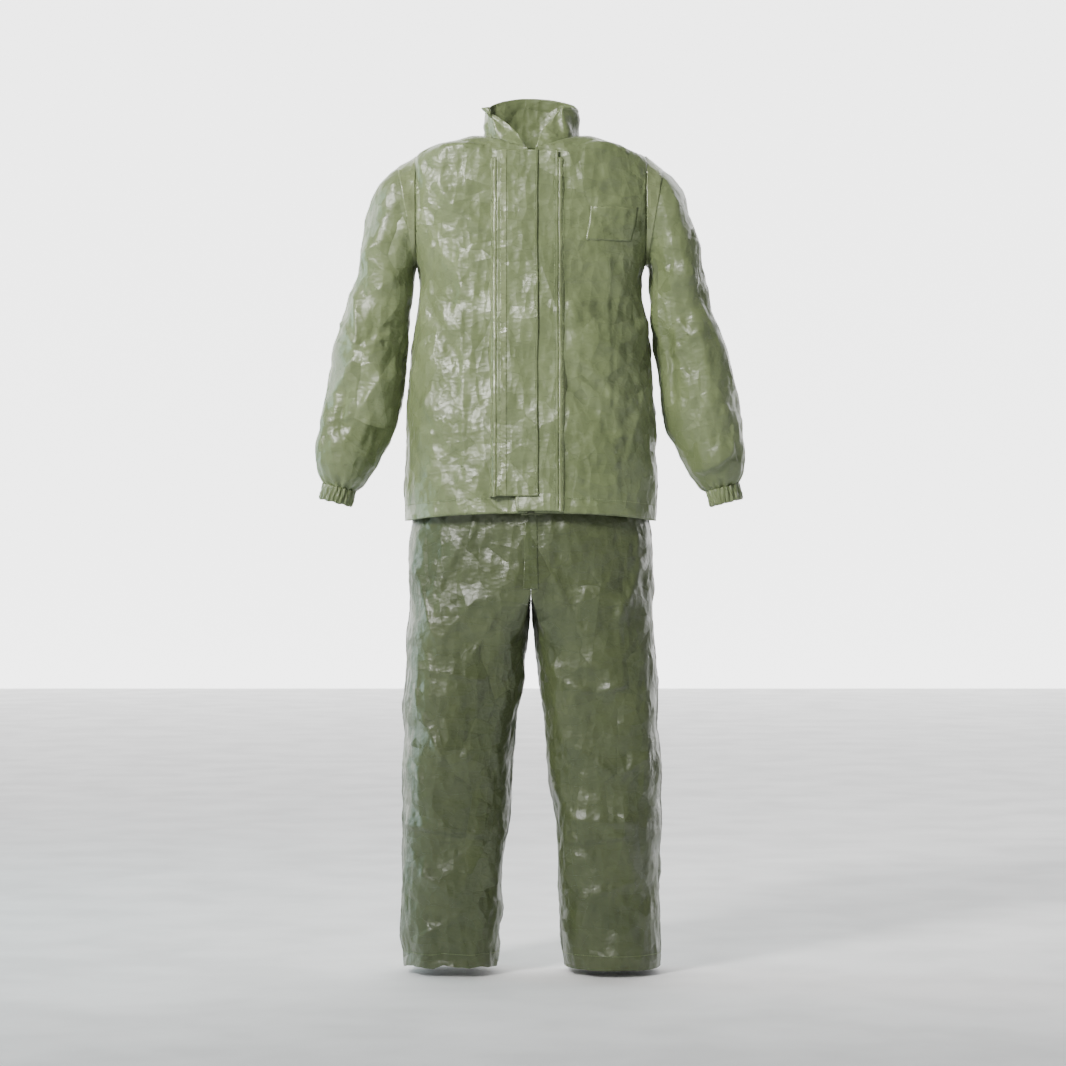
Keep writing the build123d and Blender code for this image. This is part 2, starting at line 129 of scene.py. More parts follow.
def even_angles(count, start, end, half_width, half_depth, squareness):
    """Angles that divide a section's outline evenly."""
    dense = np.linspace(start, end, 3000)
    x, y = section(dense, half_width, -half_depth, half_depth, squareness)
    walked = np.concatenate([[0], np.cumsum(np.hypot(np.diff(x), np.diff(y)))])
    return np.interp(np.linspace(0, walked[-1], count), walked, dense)


def smooth(value):
    """0 to 1, easing in and out."""
    value = np.clip(value, 0, 1)
    return value * value * (3 - 2 * value)


# ------------------------------------------------------------------ creases
def scrambled(cell, seed):
    """A value from -1 to 1 for each whole-number corner."""
    x, y, z = (cell[..., axis].astype(np.int64) for axis in range(3))
    mixed = (x * 73856093) ^ (y * 19349663) ^ (z * 83492791) ^ (seed * 2654435)
    mixed = (mixed ^ (mixed >> 13)) * 1274126177 & 0x7FFFFFFF
    mixed = (mixed ^ (mixed >> 15)) & 0xFFFF
    return mixed / 32767.5 - 1


def facets(points, size, seed):
    """Noise made of flat facets that meet in straight creases, as stiff film has."""
    placed = points / size + 17.3 * seed
    skewed = placed + placed.sum(-1, keepdims=True) / 3
    corner = np.floor(skewed)
    inside = skewed - corner
    order = np.argsort(-inside, axis=-1)
    ranked = np.take_along_axis(inside, order, -1)
    value = (1 - ranked[..., 0]) * scrambled(corner, seed)
    for step in range(3):
        corner = corner.copy()
        np.put_along_axis(
            corner,
            order[..., step : step + 1],
            np.take_along_axis(corner, order[..., step : step + 1], -1) + 1,
            -1,
        )
        following = ranked[..., step + 1] if step < 2 else 0
        value = value + (ranked[..., step] - following) * scrambled(corner, seed)
    return value


def crinkle(points, size, seed):
    """Facets whose creases wander a little."""
    wander = np.stack([facets(points, size * 1.7, seed + 10 + axis) for axis in range(3)], -1)
    return facets(points + wander * size * 0.28, size, seed)


def distance_to(points, start, end):
    """How far points are from a line, and how far along it, seen from the front or back."""
    flat = points[..., [0, 2]]
    start = np.array(start)
    line = np.array(end) - start
    share = np.clip(((flat - start) @ line) / (line @ line), 0, 1)
    away = flat - (start + share[..., None] * line)
    side = np.sign(line[0] * away[..., 1] - line[1] * away[..., 0])
    return np.hypot(away[..., 0], away[..., 1]), share, side


def fold(points, start, end, width, height, kind="ridge"):
    """The rise of one straight fold, fading at its ends.

    A ridge is sharp on top, a step drops on one side only, and a roll is rounded.
    """
    away, share, side = distance_to(points, start, end)
    fade = smooth(np.minimum(share, 1 - share) * 5 + 0.15)
    if kind == "step":
        rise = np.where(side > 0, np.exp(-away / (width * 2.5)), np.exp(-((away / (width * 0.35)) ** 2)))
    elif kind == "roll":
        rise = np.exp(-((away / width) ** 2))
    else:
        rise = np.exp(-away / width)
    return height * rise * fade


# ------------------------------------------------------------------ grids and meshes
def normals_of(grid, closed):
    """Unit normals of a grid; they point out where the columns run anticlockwise from above."""
    if closed:
        around = np.roll(grid, -1, 1) - np.roll(grid, 1, 1)
    else:
        around = np.gradient(grid, axis=1)
    up = np.gradient(grid, axis=0)
    normal = np.cross(around, up)
    return normal / np.maximum(np.linalg.norm(normal, axis=-1, keepdims=True), 1e-9)


def finer(grid, times, closed):
    """A grid with times as many steps each way, on smooth curves through the old points."""
    rows, columns = grid.shape[:2]
    if closed:
        grid = np.concatenate([grid[:, -2:], grid, grid[:, :3]], 1)
        wanted = np.arange(columns * times) / times + 2
    else:
        wanted = np.arange((columns - 1) * times + 1) / times
    flat = grid.transpose(1, 0, 2).reshape(grid.shape[1], -1)
    flat = through(np.arange(len(flat)), flat, wanted)
    grid = flat.reshape(len(wanted), rows, -1).transpose(1, 0, 2)
    wanted = np.arange((rows - 1) * times + 1) / times
    flat = through(np.arange(rows), grid.reshape(rows, -1), wanted)
    return flat.reshape(len(wanted), grid.shape[1], -1)


def finer_steps(values):
    """The same range in FINER times as many steps."""
    wanted = np.arange((len(values) - 1) * FINER + 1) / FINER
    return np.interp(wanted, np.arange(len(values)), values)


def wrapped(grid):
    """A closed grid, with its first column again at the end."""
    return np.concatenate([grid, grid[:, :1]], 1)


def faces_of(rows, columns, closed, left_out=None):
    """Quads of a grid, without those whose corners are all left out."""
    across = np.arange(columns if closed else columns - 1)
    row, column = np.meshgrid(np.arange(rows - 1) * columns, across, indexing="ij")
    after = (column + 1) % columns
    above = row + columns
    quads = np.stack([row + column, row + after, above + after, above + column], -1).reshape(-1, 4)
    if left_out is not None:
        quads = quads[~left_out.reshape(-1)[quads].all(1)]
    return quads


def make_mesh(name, points, quads, material):
    """A mesh object of only the points that its faces use."""
    points = np.asarray(points).reshape(-1, 3)
    used, again = np.unique(quads, return_inverse=True)
    quads = again.reshape(quads.shape)
    points = points[used]
    mesh = bpy.data.meshes.new(name)
    mesh.vertices.add(len(points))
    mesh.vertices.foreach_set("co", points.astype(np.float32).ravel())
    mesh.loops.add(quads.size)
    mesh.loops.foreach_set("vertex_index", quads.ravel().astype(np.int32))
    mesh.polygons.add(len(quads))
    mesh.polygons.foreach_set("loop_start", (np.arange(len(quads)) * quads.shape[1]).astype(np.int32))
    mesh.update(calc_edges=True)
    mesh.validate()
    mesh.shade_smooth()
    rest = mesh.attributes.new("rest_place", "FLOAT_VECTOR", "POINT")
    rest.data.foreach_set("vector", points.astype(np.float32).ravel())
    obj = bpy.data.objects.new(name, mesh)
    bpy.context.scene.collection.objects.link(obj)
    mesh.materials.append(material)
    return obj


def thicken(obj, thickness=CLOTH, offset=-1, rim=True):
    """Gives cloth its thickness; without a rim where it runs on into the next piece."""
    solid = obj.modifiers.new("thickness", "SOLIDIFY")
    solid.thickness = thickness
    solid.offset = offset
    solid.use_rim = rim
    return obj


def buckle(base, closed, held, longer, wider, left_out=None, frames=28):
    """How far each point of a grid moves when its cloth is longer and wider than its place.

    held is 1 where the cloth is sewn, and small where the wearer's body only steadies it.
    """
    rows, columns = base.shape[:2]
    quads = faces_of(rows, columns, closed, left_out)
    if not len(quads):
        return np.zeros_like(base)
    mesh = bpy.data.meshes.new("cloth")
    mesh.from_pydata(base.reshape(-1, 3).tolist(), [], quads.tolist())
    obj = bpy.data.objects.new("cloth", mesh)
    bpy.context.scene.collection.objects.link(obj)
    middle = base.mean(1, keepdims=True)
    cut = middle + (base - middle) * (1 + wider)
    top = middle[-1:]
    cut = cut + (middle - top) * longer
    obj.shape_key_add(name="worn_shape_and_shaded_tone")
    key = obj.shape_key_add(name="cut")
    key.data.foreach_set("co", cut.astype(np.float32).ravel())
    key.value = 0
    group = obj.vertex_groups.new(name="held")
    weights = held.reshape(-1).round(3)
    for weight in np.unique(weights):
        members = np.nonzero(weights == weight)[0]
        if weight > 0:
            group.add(members.tolist(), float(weight), "REPLACE")
    cloth = obj.modifiers.new("cloth", "CLOTH")
    settings = cloth.settings
    settings.rest_shape_key = key
    settings.quality = 6
    settings.mass = 0.08
    settings.air_damping = 4
    settings.tension_stiffness = 60
    settings.compression_stiffness = 60
    settings.shear_stiffness = 30
    settings.bending_model = "ANGULAR"
    settings.bending_stiffness = 1.2
    settings.bending_damping = 2
    settings.vertex_group_mass = "held"
    settings.pin_stiffness = 1
    cloth.collision_settings.use_collision = False
    settings.effector_weights.gravity = 0.3
    scene = bpy.context.scene
    scene.frame_start = 1
    scene.frame_end = frames
    cloth.point_cache.frame_start = 1
    cloth.point_cache.frame_end = frames
    for number in range(1, frames + 1):
        scene.frame_set(number)
    shaped = obj.evaluated_get(bpy.context.evaluated_depsgraph_get())
    moved = np.empty(base.size, np.float32)
    shaped.data.vertices.foreach_get("co", moved)
    bpy.data.objects.remove(obj)
    scene.frame_set(1)
    shift = moved.reshape(base.shape) - base
    reach = np.linalg.norm(shift, axis=-1, keepdims=True)
    return shift * np.minimum(1, FURTHEST_SHIFT / np.maximum(reach, 1e-9))


# ------------------------------------------------------------------ materials
class Paint:
    """One material, with a short way to add nodes and join them up."""

    def __init__(self, name):
        self.material = bpy.data.materials.new(name)
        self.material.use_nodes = True
        self.tree = self.material.node_tree
        self.shader = self.tree.nodes["Principled BSDF"]

    def fill(self, node, inputs):
        """Sets each input to a value, or joins it to another node's output."""
        for key, value in inputs.items():
            if isinstance(value, bpy.types.NodeSocket):
                self.tree.links.new(value, node.inputs[key])
            else:
                node.inputs[key].default_value = value

    def add(self, kind, output, inputs, **settings):
        """An output of a new node."""
        node = self.tree.nodes.new(f"ShaderNode{kind}")
        for key, value in settings.items():
            setattr(node, key, value)
        self.fill(node, inputs)
        return node.outputs[output]

    def noise(self, vector, scale, detail, output="Fac", distortion=0.0):
        """A noise texture."""
        inputs = {"Vector": vector, "Scale": scale, "Detail": detail, "Distortion": distortion}
        return self.add("TexNoise", output, inputs)

    def stretched(self, vector, scale, rotation):
        """Coordinates stretched along one direction."""
        return self.add("Mapping", "Vector", {"Vector": vector, "Scale": scale, "Rotation": rotation})

    def combine(self, operation, *terms):
        """Vector arithmetic on outputs or plain vectors."""
        output = "Value" if operation == "DOT_PRODUCT" else "Vector"
        return self.add("VectorMath", output, dict(enumerate(terms)), operation=operation)

    def bump(self, height, distance, strength, under=None):
        """A bump on top of another."""
        inputs = {"Height": height, "Distance": distance, "Strength": strength}
        if under is not None:
            inputs["Normal"] = under
        return self.add("Bump", "Normal", inputs)

    def ramp(self, value, low, high, low_colour, high_colour):
        """Two colours over a range of a value."""
        colour = self.add("ValToRGB", "Color", {"Fac": value})
        first, last = colour.node.color_ramp.elements
        first.position, first.color = low, (*low_colour, 1)
        last.position, last.color = high, (*high_colour, 1)
        return colour

    def creases(self, vector, scale):
        """Short creases between the cells of a wandering pattern."""
        wander = self.noise(vector, scale * 0.35, 3, "Color")
        shifted = self.combine("MULTIPLY_ADD", wander, (1.1 / scale,) * 3, vector)
        inputs = {"Vector": shifted, "Scale": scale, "Smoothness": 0.12, "Randomness": 1.0}
        return self.add("TexVoronoi", "Distance", inputs, feature="SMOOTH_F1")

    def facet_tilt(self, vector, scale):
        """Flat facets, each tilted its own way, that meet in sharp creases."""
        middle = self.add("TexVoronoi", "Position", {"Vector": vector, "Scale": scale})
        lean = self.combine("SUBTRACT", middle.node.outputs["Color"], (0.5, 0.5, 0.5))
        return self.combine("DOT_PRODUCT", self.combine("SUBTRACT", vector, middle), lean)


def laminate(name, dark, light, gloss):
    """Film laminate: olive, semi-gloss, crinkled at several sizes over a fine scrim.

    The pattern follows where each point lies at rest, so it moves with the cloth.
    """
    paint = Paint(name)
    place = paint.add("Attribute", "Vector", {}, attribute_name="rest_place")
    slanted = paint.stretched(place, (1.0, 1.0, 0.45), (0.5, 0.35, 0.6))
    other_way = paint.stretched(place, (0.5, 1.0, 1.0), (0.2, -0.7, -0.3))
    large = paint.creases(slanted, 62)
    scrim_inputs = {"Vector": place, "Scale": 420, "Distortion": 1.5}
    scrim = paint.add("TexWave", "Fac", scrim_inputs, wave_type="BANDS", bands_direction="Z")
    surface = None
    for height, distance, strength in (
        (scrim, 0.00006, 0.35),
        (paint.noise(place, 900, 3), 0.0001, 0.5),
        (paint.creases(other_way, 150), 0.0010, 0.55),
        (large, 0.0028, 0.70),
        (paint.facet_tilt(other_way, 46), 0.27, 1.0),
        (paint.facet_tilt(slanted, 21), 0.34, 1.0),
    ):
        surface = paint.bump(height, distance, strength, surface)
    tone = paint.ramp(paint.noise(place, 9, 5, distortion=0.6), 0.3, 0.7, dark, light)
    # Painted shade and highlight: the base colour is darkened in the hollows of the large crinkle bump and
    # lightened along its crease ridges.
    crinkle_shade_and_highlight = paint.ramp(large, 0.1, 0.75, (0.42, 0.42, 0.42), (0.62, 0.62, 0.6))
    shaded_tone_inputs = {"Factor": 0.35, "A": tone, "B": crinkle_shade_and_highlight}
    worn_shape_and_shaded_tone = paint.add("Mix", "Result", shaded_tone_inputs, data_type="RGBA", blend_type="SOFT_LIGHT")
    patchy_inputs = {"Value": paint.noise(place, 38, 4), "To Min": gloss - 0.07, "To Max": gloss + 0.12}
    patchy = paint.add("MapRange", "Result", patchy_inputs)
    paint.fill(paint.shader, {"Normal": surface, "Base Color": worn_shape_and_shaded_tone, "Roughness": patchy})
    paint.fill(paint.shader, {"Specular IOR Level": 0.62, "Sheen Weight": 0.06})
    return paint.material


def plain(name, colour, roughness, grain=600, grain_depth=0.0001, metallic=0.0):
    """A solid colour with a fine grain."""
    paint = Paint(name)
    place = paint.add("TexCoord", "Object", {})
    rough = paint.bump(paint.noise(place, grain, 3), grain_depth, 0.6)
    paler = tuple(min(1.0, channel * 1.3 + 0.01) for channel in colour)
    tone = paint.ramp(paint.noise(place, grain / 8, 3), 0.35, 0.7, colour, paler)
    paint.fill(paint.shader, {"Normal": rough, "Base Color": tone})
    paint.fill(paint.shader, {"Roughness": roughness, "Metallic": metallic})
    return paint.material


JACKET = laminate("jacket_laminate", (0.112, 0.142, 0.060), (0.152, 0.188, 0.086), 0.36)
TROUSERS = laminate("trouser_laminate", (0.052, 0.068, 0.025), (0.074, 0.093, 0.037), 0.38)
TAPE = laminate("seam_tape_film", (0.128, 0.158, 0.070), (0.190, 0.226, 0.112), 0.27)
TROUSER_TAPE = laminate("trouser_tape_film", (0.050, 0.066, 0.024), (0.078, 0.100, 0.040), 0.30)
THREAD = plain("thread", (0.20, 0.25, 0.12), 0.6)
WEBBING = plain("zip_webbing", (0.060, 0.072, 0.036), 0.8, 1500)
NYLON = plain("zip_nylon", (0.050, 0.060, 0.030), 0.35)
ENAMEL = plain("zip_enamel", (0.065, 0.075, 0.040), 0.32, 300, 0.00005, 0.3)
HOOKS = plain("hook_tape", (0.070, 0.083, 0.045), 0.9, 1800, 0.0004)
LOOPS = plain("loop_tape", (0.080, 0.095, 0.052), 1.0, 900, 0.0006)
RUBBER = plain("elastic", (0.55, 0.54, 0.50), 0.8, 1500)


# ------------------------------------------------------------------ jacket body
FRONT_AT_NECK = -0.085
ARMHOLE_MIDDLE = 0.384
ARMHOLE_HALF_HEIGHT = 0.0965
ARMHOLE_HALF_DEPTH = 0.0715
FRONT_GAP = 0.007
HEM_ROWS = 7  # rows of a fine grid in a 26 mm turned-up hem
HEM_BEHIND = 0.0022  # how far a turned-up hem lies behind its panel
TAPE_LIFT = 0.0008  # how far a seam tape stands off the cloth
TAPE_THICKNESS = 0.0005
THREAD_LIFT = 0.0003
PATCH_LIFT = 0.0006
PATCH_THICKNESS = 0.0003
PATCH_X = (0.104, 0.178)
PATCH_Z = (0.318, 0.386)
NECKLINE_DIP = 0.022
SHOULDER_LIFT = 0.009  # fullness over the wearer's shoulder


def front_line(height):
    """Y of the jacket's straight front at a height."""
    return TORSO_FRONT + (FRONT_AT_NECK - TORSO_FRONT) * (height - HEM) / (NECK_TOP - HEM)


# height, half width, back, squareness
TORSO = np.array(
    [
        (HEM, TORSO_HALF_WIDTH, 0.132, 2.4),
        (0.0, TORSO_HALF_WIDTH - 0.001, 0.128, 2.4),
        (0.170, 0.209, 0.134, 2.5),
        (0.260, 0.199, 0.133, 2.6),
        (0.300, 0.207, 0.130, 2.8),
        (0.340, 0.218, 0.126, 2.9),
        (0.380, 0.225, 0.120, 3.0),
        (0.440, 0.217, 0.104, 3.0),
        (0.476, 0.203, 0.092, 3.0),
        (0.492, 0.148, 0.078, 2.6),
        (NECK_TOP, NECK_HALF_WIDTH + 0.002, 0.062, 2.2),
    ]
)
TORSO_WALK = np.concatenate([[0], np.cumsum(np.hypot(np.diff(TORSO[:, 0]), np.diff(TORSO[:, 1])))])


def torso_base(walk, angles):
    """The smooth torso: rows from hem to neck, columns from the left front round the back."""
    height, half_width, back, squareness = through(TORSO_WALK, TORSO, walk).T[:, :, None]
    x, y = section(angles[None, :], half_width, front_line(height), back, squareness)
    in_front = y < (front_line(height) + back) / 2
    edge = np.where(angles < math.pi / 2, FRONT_GAP, -FRONT_GAP)[None, :]
    x = np.where(in_front & (np.abs(x) < FRONT_GAP), edge, x)
    hang = smooth(1 - (height - HEM) / 0.14)
    lower = 0.004 - 0.013 * np.abs(np.cos(angles))[None, :] ** 2
    in_middle = smooth(1 - np.abs(x) / (NECK_HALF_WIDTH * 0.95)) * in_front
    z = height + hang * lower - NECKLINE_DIP * in_middle * smooth((height - 0.43) / (NECK_TOP - 0.43))
    beside_neck = smooth((np.abs(x) - 0.07) / 0.04) * smooth((0.198 - np.abs(x)) / 0.06)
    z = z + SHOULDER_LIFT * beside_neck * smooth((height - 0.45) / 0.03)
    return np.stack([x, y, z], -1)


def armhole_reach(points):
    """1 on the armhole seam, less inside it and more outside."""
    across = (points[..., 1] - SLEEVE_Y) / ARMHOLE_HALF_DEPTH
    up = (points[..., 2] - ARMHOLE_MIDDLE) / ARMHOLE_HALF_HEIGHT
    return np.where(np.abs(points[..., 0]) > 0.12, np.hypot(across, up), 9)


def snapped(points):
    """Points inside an armhole moved out to its seam."""
    reach = armhole_reach(points)
    inside = reach < 1
    centre = np.array([0, SLEEVE_Y, ARMHOLE_MIDDLE])
    out = centre + (points - centre) / np.maximum(reach, 1e-3)[..., None]
    out[..., 0] = np.sign(points[..., 0]) * ARMHOLE_X
    return np.where(inside[..., None], out, points), inside


JACKET_FOLDS = (
    ((-0.126, 0.357), (-0.114, -0.132), 0.005, 0.0030, "ridge"),
    ((0.135, 0.330), (0.137, -0.008), 0.005, 0.0028, "ridge"),
    ((0.137, -0.008), (0.156, -0.155), 0.004, 0.0022, "ridge"),
    ((0.050, 0.214), (0.196, 0.216), 0.005, 0.0026, "ridge"),
    ((-0.215, 0.238), (-0.085, 0.222), 0.005, 0.0026, "ridge"),
    ((-0.215, -0.020), (-0.075, -0.012), 0.004, 0.0018, "ridge"),
    ((0.060, -0.030), (0.215, -0.018), 0.004, 0.0016, "ridge"),
    ((0.053, 0.090), (0.145, -0.030), 0.014, -0.0055, "roll"),
    ((0.075, 0.120), (0.190, 0.020), 0.010, 0.0040, "roll"),
    ((-0.190, 0.330), (-0.085, 0.200), 0.012, 0.0035, "roll"),
    ((-0.200, 0.250), (-0.120, 0.090), 0.010, -0.0040, "roll"),
    ((0.180, 0.300), (0.075, 0.410), 0.009, -0.0030, "roll"),
    ((-0.175, 0.430), (-0.080, 0.330), 0.009, 0.0028, "roll"),
    ((0.190, 0.190), (0.120, 0.300), 0.010, 0.0035, "roll"),
    ((-0.205, 0.060), (-0.130, -0.060), 0.009, 0.0030, "step"),
    ((0.205, 0.080), (0.160, -0.080), 0.009, 0.0030, "step"),
)


def creased(points, folds, middle_y):
    """The rise of a list of folds on the front of the suit."""
    rise = np.zeros(points.shape[:-1])
    for start, end, width, height, kind in folds:
        rise += fold(points, start, end, width, height, kind)
    return rise * smooth((middle_y - points[..., 1]) / 0.04)


def crumpled(points, large, medium, small):
    """The rise of film crumpled at three sizes."""
    return (
        crinkle(points, 0.085, 1) * large
        + crinkle(points, 0.040, 2) * medium
        + crinkle(points, 0.017, 3) * small
    )


# How much larger the cloth is cut than the smooth form, which is what makes it buckle
JACKET_LONGER, JACKET_WIDER = 0.015, 0.022
SLEEVE_LONGER, SLEEVE_WIDER = 0.045, 0.035
LEG_LONGER, LEG_WIDER = 0.024, 0.030
GATHERED_WIDER = 0.20  # the cuffs' and the waistband's
# How firmly the wearer's body steadies the cloth, where 1 is sewn
TORSO_HOLD, LIMB_HOLD, EDGE_HOLD = 0.42, 0.36, 0.6
SHOULDERS_FROM = 0.455  # height above which the jacket rests on the shoulders


def torso_cloth():
    """The finished torso grid, which of its points are in an armhole, and the smooth form under it."""
    walk = np.linspace(0, TORSO_WALK[-1], round(TORSO_WALK[-1] / COARSE))
    angles = even_angles(97, -math.pi / 2, 1.5 * math.pi, 0.215, 0.125, 2.5)
    base, inside = snapped(torso_base(walk, angles))
    held = np.full(base.shape[:2], TORSO_HOLD)
    held[base[..., 2] > SHOULDERS_FROM] = EDGE_HOLD
    held[:, [0, -1]] = 1
    held[-1] = 1
    held[0] = EDGE_HOLD
    held[armhole_reach(base) < 1.05] = 1
    shift = buckle(base, False, held, JACKET_LONGER, JACKET_WIDER, inside)
    form, inside = snapped(torso_base(finer_steps(walk), finer_steps(angles)))
    free = smooth((armhole_reach(form) - 1) / 0.2) * smooth((NECK_TOP - form[..., 2]) / 0.01)
    free = np.where(inside, 0, free)[..., None]
    grid = form + finer(shift, FINER, False) * free
    normal = normals_of(grid, False)
    rise = crumpled(grid, 0.0042, 0.0024, 0.0010) + creased(grid, JACKET_FOLDS, -0.03)
    column = np.arange(grid.shape[1])
    edge = smooth(np.minimum(column, column[::-1]) / 8)[None, :]
    grid = grid + normal * rise[..., None] * free * (0.35 + 0.65 * edge[..., None])
    return grid, inside, form


torso, in_armhole, torso_form = torso_cloth()
COLUMNS = torso.shape[1]
LEFT_SIDE = COLUMNS // 4
RIGHT_SIDE = COLUMNS - 1 - LEFT_SIDE


def longest_path(points):
    """The longest of the paths that run along a grid's second direction."""
    return float(np.linalg.norm(np.diff(points, axis=1), axis=2).sum(1).max())


def cut_of(form, closed=False, left_out=None, longer=0.0, wider=0.0):
    """The flat cut of a panel: width, length and area of its smooth form, with the ease its folds use."""
    ring = wrapped(form) if closed else form
    corners = form.reshape(-1, 3)[faces_of(*form.shape[:2], closed, left_out)]
    diagonals = np.cross(corners[:, 2] - corners[:, 0], corners[:, 3] - corners[:, 1])
    area = float(np.linalg.norm(diagonals, axis=1).sum() / 2)
    width = longest_path(ring) * (1 + wider)
    length = longest_path(form.transpose(1, 0, 2)) * (1 + longer)
    return width, length, area * (1 + wider) * (1 + longer)


def declare_cloth(cut, nodes):
    """A cloth piece stands for its CAD nodes, which it hides; the cut it is given is not used."""
    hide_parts(*nodes)


def patch(name, grid, material, body, closed=False, left_out=None, thickness=CLOTH, side=1, rim=True):
    """A piece made of one grid that rides on a body."""
    quads = faces_of(*grid.shape[:2], closed, left_out)
    if side < 0:
        quads = quads[:, ::-1]
    obj = make_mesh(name, grid, quads, material)
    if thickness:
        thicken(obj, thickness, rim=rim)
    if body:
        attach(obj, body)
    return obj


def lifted(grid, normal, rows, columns, lift, times=2):
    """A finer strip of a grid, raised off it along its normals."""
    return finer(grid[rows, columns] + normal[rows, columns] * lift, times, False)


def tape_strip(name, strip, node, body, side=1, seed=5, material=TAPE):
    """A heat-sealed tape with small cross wrinkles."""
    normal = normals_of(strip, False) * side
    ripple = crinkle(strip * np.array([0.6, 0.6, 1.8]), 0.009, seed) * 0.00035
    obj = patch(name, strip + normal * ripple[..., None], material, body, thickness=TAPE_THICKNESS, side=side)
    if node:
        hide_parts(node)
    return obj


def stitches(name, path, normal, body, pitch=0.0042, length=0.0030, width=0.0007):
    """A row of stitches along a path of points."""
    walk = np.concatenate([[0], np.cumsum(np.linalg.norm(np.diff(path, axis=0), axis=1))])
    starts = np.arange(pitch, walk[-1] - pitch, pitch)
    corners = []
    for offset in (0, length / 2, length):
        at = np.stack([np.interp(starts + offset, walk, path[:, axis]) for axis in range(3)], -1)
        out = np.stack([np.interp(starts + offset, walk, normal[:, axis]) for axis in range(3)], -1)
        along = np.gradient(at, axis=0)
        along /= np.linalg.norm(along, axis=1, keepdims=True)
        across = np.cross(along, out) * width / 2
        rise = out * (0.0006 if offset == length / 2 else 0.0001)
        corners += [at - across + rise, at + across + rise]
    points = np.stack(corners, 1)
    index = np.arange(len(starts))[:, None] * 6
    quads = np.concatenate([index + np.array([0, 1, 3, 2]), index + np.array([2, 3, 5, 4])])
    obj = make_mesh(name, points, quads, THREAD)
    thicken(obj, 0.0004, 0)
    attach(obj, body)
    return obj


def build_jacket_body():
    """Front and back panels, their seam tapes, hem facings and the chest patch."""
    normal = normals_of(torso, False)
    panels = (
        ("front_left", slice(0, LEFT_SIDE + 1), slice(2, LEFT_SIDE)),
        ("back", slice(LEFT_SIDE, RIGHT_SIDE + 1), slice(LEFT_SIDE, RIGHT_SIDE)),
        ("front_right", slice(RIGHT_SIDE, COLUMNS), slice(RIGHT_SIDE, COLUMNS - 2)),
    )
    for label, columns, _ in panels:
        left_out = in_armhole[:, columns]
        panel = patch(f"jacket_{label}_cloth", torso[:, columns], JACKET, "jacket", left_out=left_out)
        cut = cut_of(torso_form[:, columns], left_out=left_out, longer=JACKET_LONGER, wider=JACKET_WIDER)
        declare_cloth(cut, [f"jacket_{label}"])
    reach = armhole_reach(torso)
    for side, column in (("left", LEFT_SIDE), ("right", RIGHT_SIDE)):
        band = slice(column - 3, column + 4)
        clear = reach[:, column] > 1.04
        below = np.nonzero((torso[:, column, 2] < ARMHOLE_MIDDLE) & clear)[0]
        above = np.nonzero((torso[:, column, 2] > ARMHOLE_MIDDLE) & clear)[0]
        seams = (("side", slice(0, below[-1] + 1)), ("shoulder", slice(above[0], torso.shape[0] - 1)))
        for seam, rows in seams:
            node = f"{seam}_seam_tape_{side}"
            tape_strip(f"{node}_film", lifted(torso, normal, rows, band, TAPE_LIFT), node, "jacket")
    hem = slice(0, HEM_ROWS)
    for label, _, columns in panels:
        node = f"hem_facing_{label}"
        facing = patch(f"{node}_cloth", lifted(torso, normal, hem, columns, -HEM_BEHIND, 1), JACKET, "jacket")
        declare_cloth(cut_of(torso_form[hem, columns]), [node])
    row = HEM_ROWS - 1
    hem_row = torso[row] + normal[row] * THREAD_LIFT
    stitches("hem_stitches", hem_row[1:-1], normal[row][1:-1], "jacket")
    x, y, z = np.moveaxis(torso, -1, 0)
    chest = (x > PATCH_X[0]) & (x < PATCH_X[1]) & (y < 0) & (z > PATCH_Z[0]) & (z < PATCH_Z[1])
    rows, columns = (slice(found.min(), found.max() + 1) for found in np.nonzero(chest))
    strip = lifted(torso, normal, rows, columns, PATCH_LIFT, 1)
    badge = patch("chest_patch_film", strip, JACKET, "jacket", thickness=PATCH_THICKNESS)
    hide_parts("chest_patch")


# ------------------------------------------------------------------ collar
# Top corners, across and up: the wearer's right one, then the left
COLLAR_CORNERS = ((-0.086, 0.559), (0.056, 0.561))


def build_collar():
    """A soft stand collar, open in a V at the front; its folded top edge is shown only by a row of stitches.
    """
    turn = np.linspace(math.radians(-86), math.radians(266), 211)[None, :]
    rise = np.linspace(0, 1, 34)[:, None]
    front_share = smooth((np.abs(turn - math.pi / 2) - 1.25) / 1.7)
    spread = front_share**1.5
    foot_x, foot_y = section(turn, NECK_HALF_WIDTH, NECK_FRONT, NECK_BACK, 2.2)
    foot_z = 0.500 - 0.018 * front_share
    right = turn > math.pi / 2
    corner_x = np.where(right, *(corner[0] for corner in COLLAR_CORNERS))
    corner_z = np.where(right, *(corner[1] for corner in COLLAR_CORNERS))
    top_x = foot_x * 0.90 + (corner_x - foot_x * 0.90) * spread
    top_y = (foot_y + 0.004) * (1 - spread) + -0.052 * spread
    top_z = corner_z + (COLLAR_TOP - corner_z) * np.clip(foot_y / NECK_BACK, 0, 1)
    lean = rise - 0.22 * np.sin(math.pi * rise) * front_share
    x = foot_x + (top_x - foot_x) * lean
    y = foot_y + (top_y - foot_y) * rise
    z = foot_z + (top_z - foot_z) * rise
    form = np.stack([x, y, z], -1)
    folds = crumpled(form, 0.0060, 0.0042, 0.0016)
    folds += 0.0016 * np.sin(turn * 9 + rise * 4) * np.sin(math.pi * rise)
    grid = form + normals_of(form, False) * (folds * smooth(rise * 6 + 0.1))[..., None]
    obj = patch("collar_cloth", grid, JACKET, "jacket", thickness=0.0016)
    declare_cloth(cut_of(form), ["collar"])
    normal = normals_of(grid, False)
    edge = lifted(grid, normal, slice(31, 33), slice(2, -2), 0.0002, 1)
    stitches("collar_stitches", edge[0], normal[31][2:-2], "jacket")


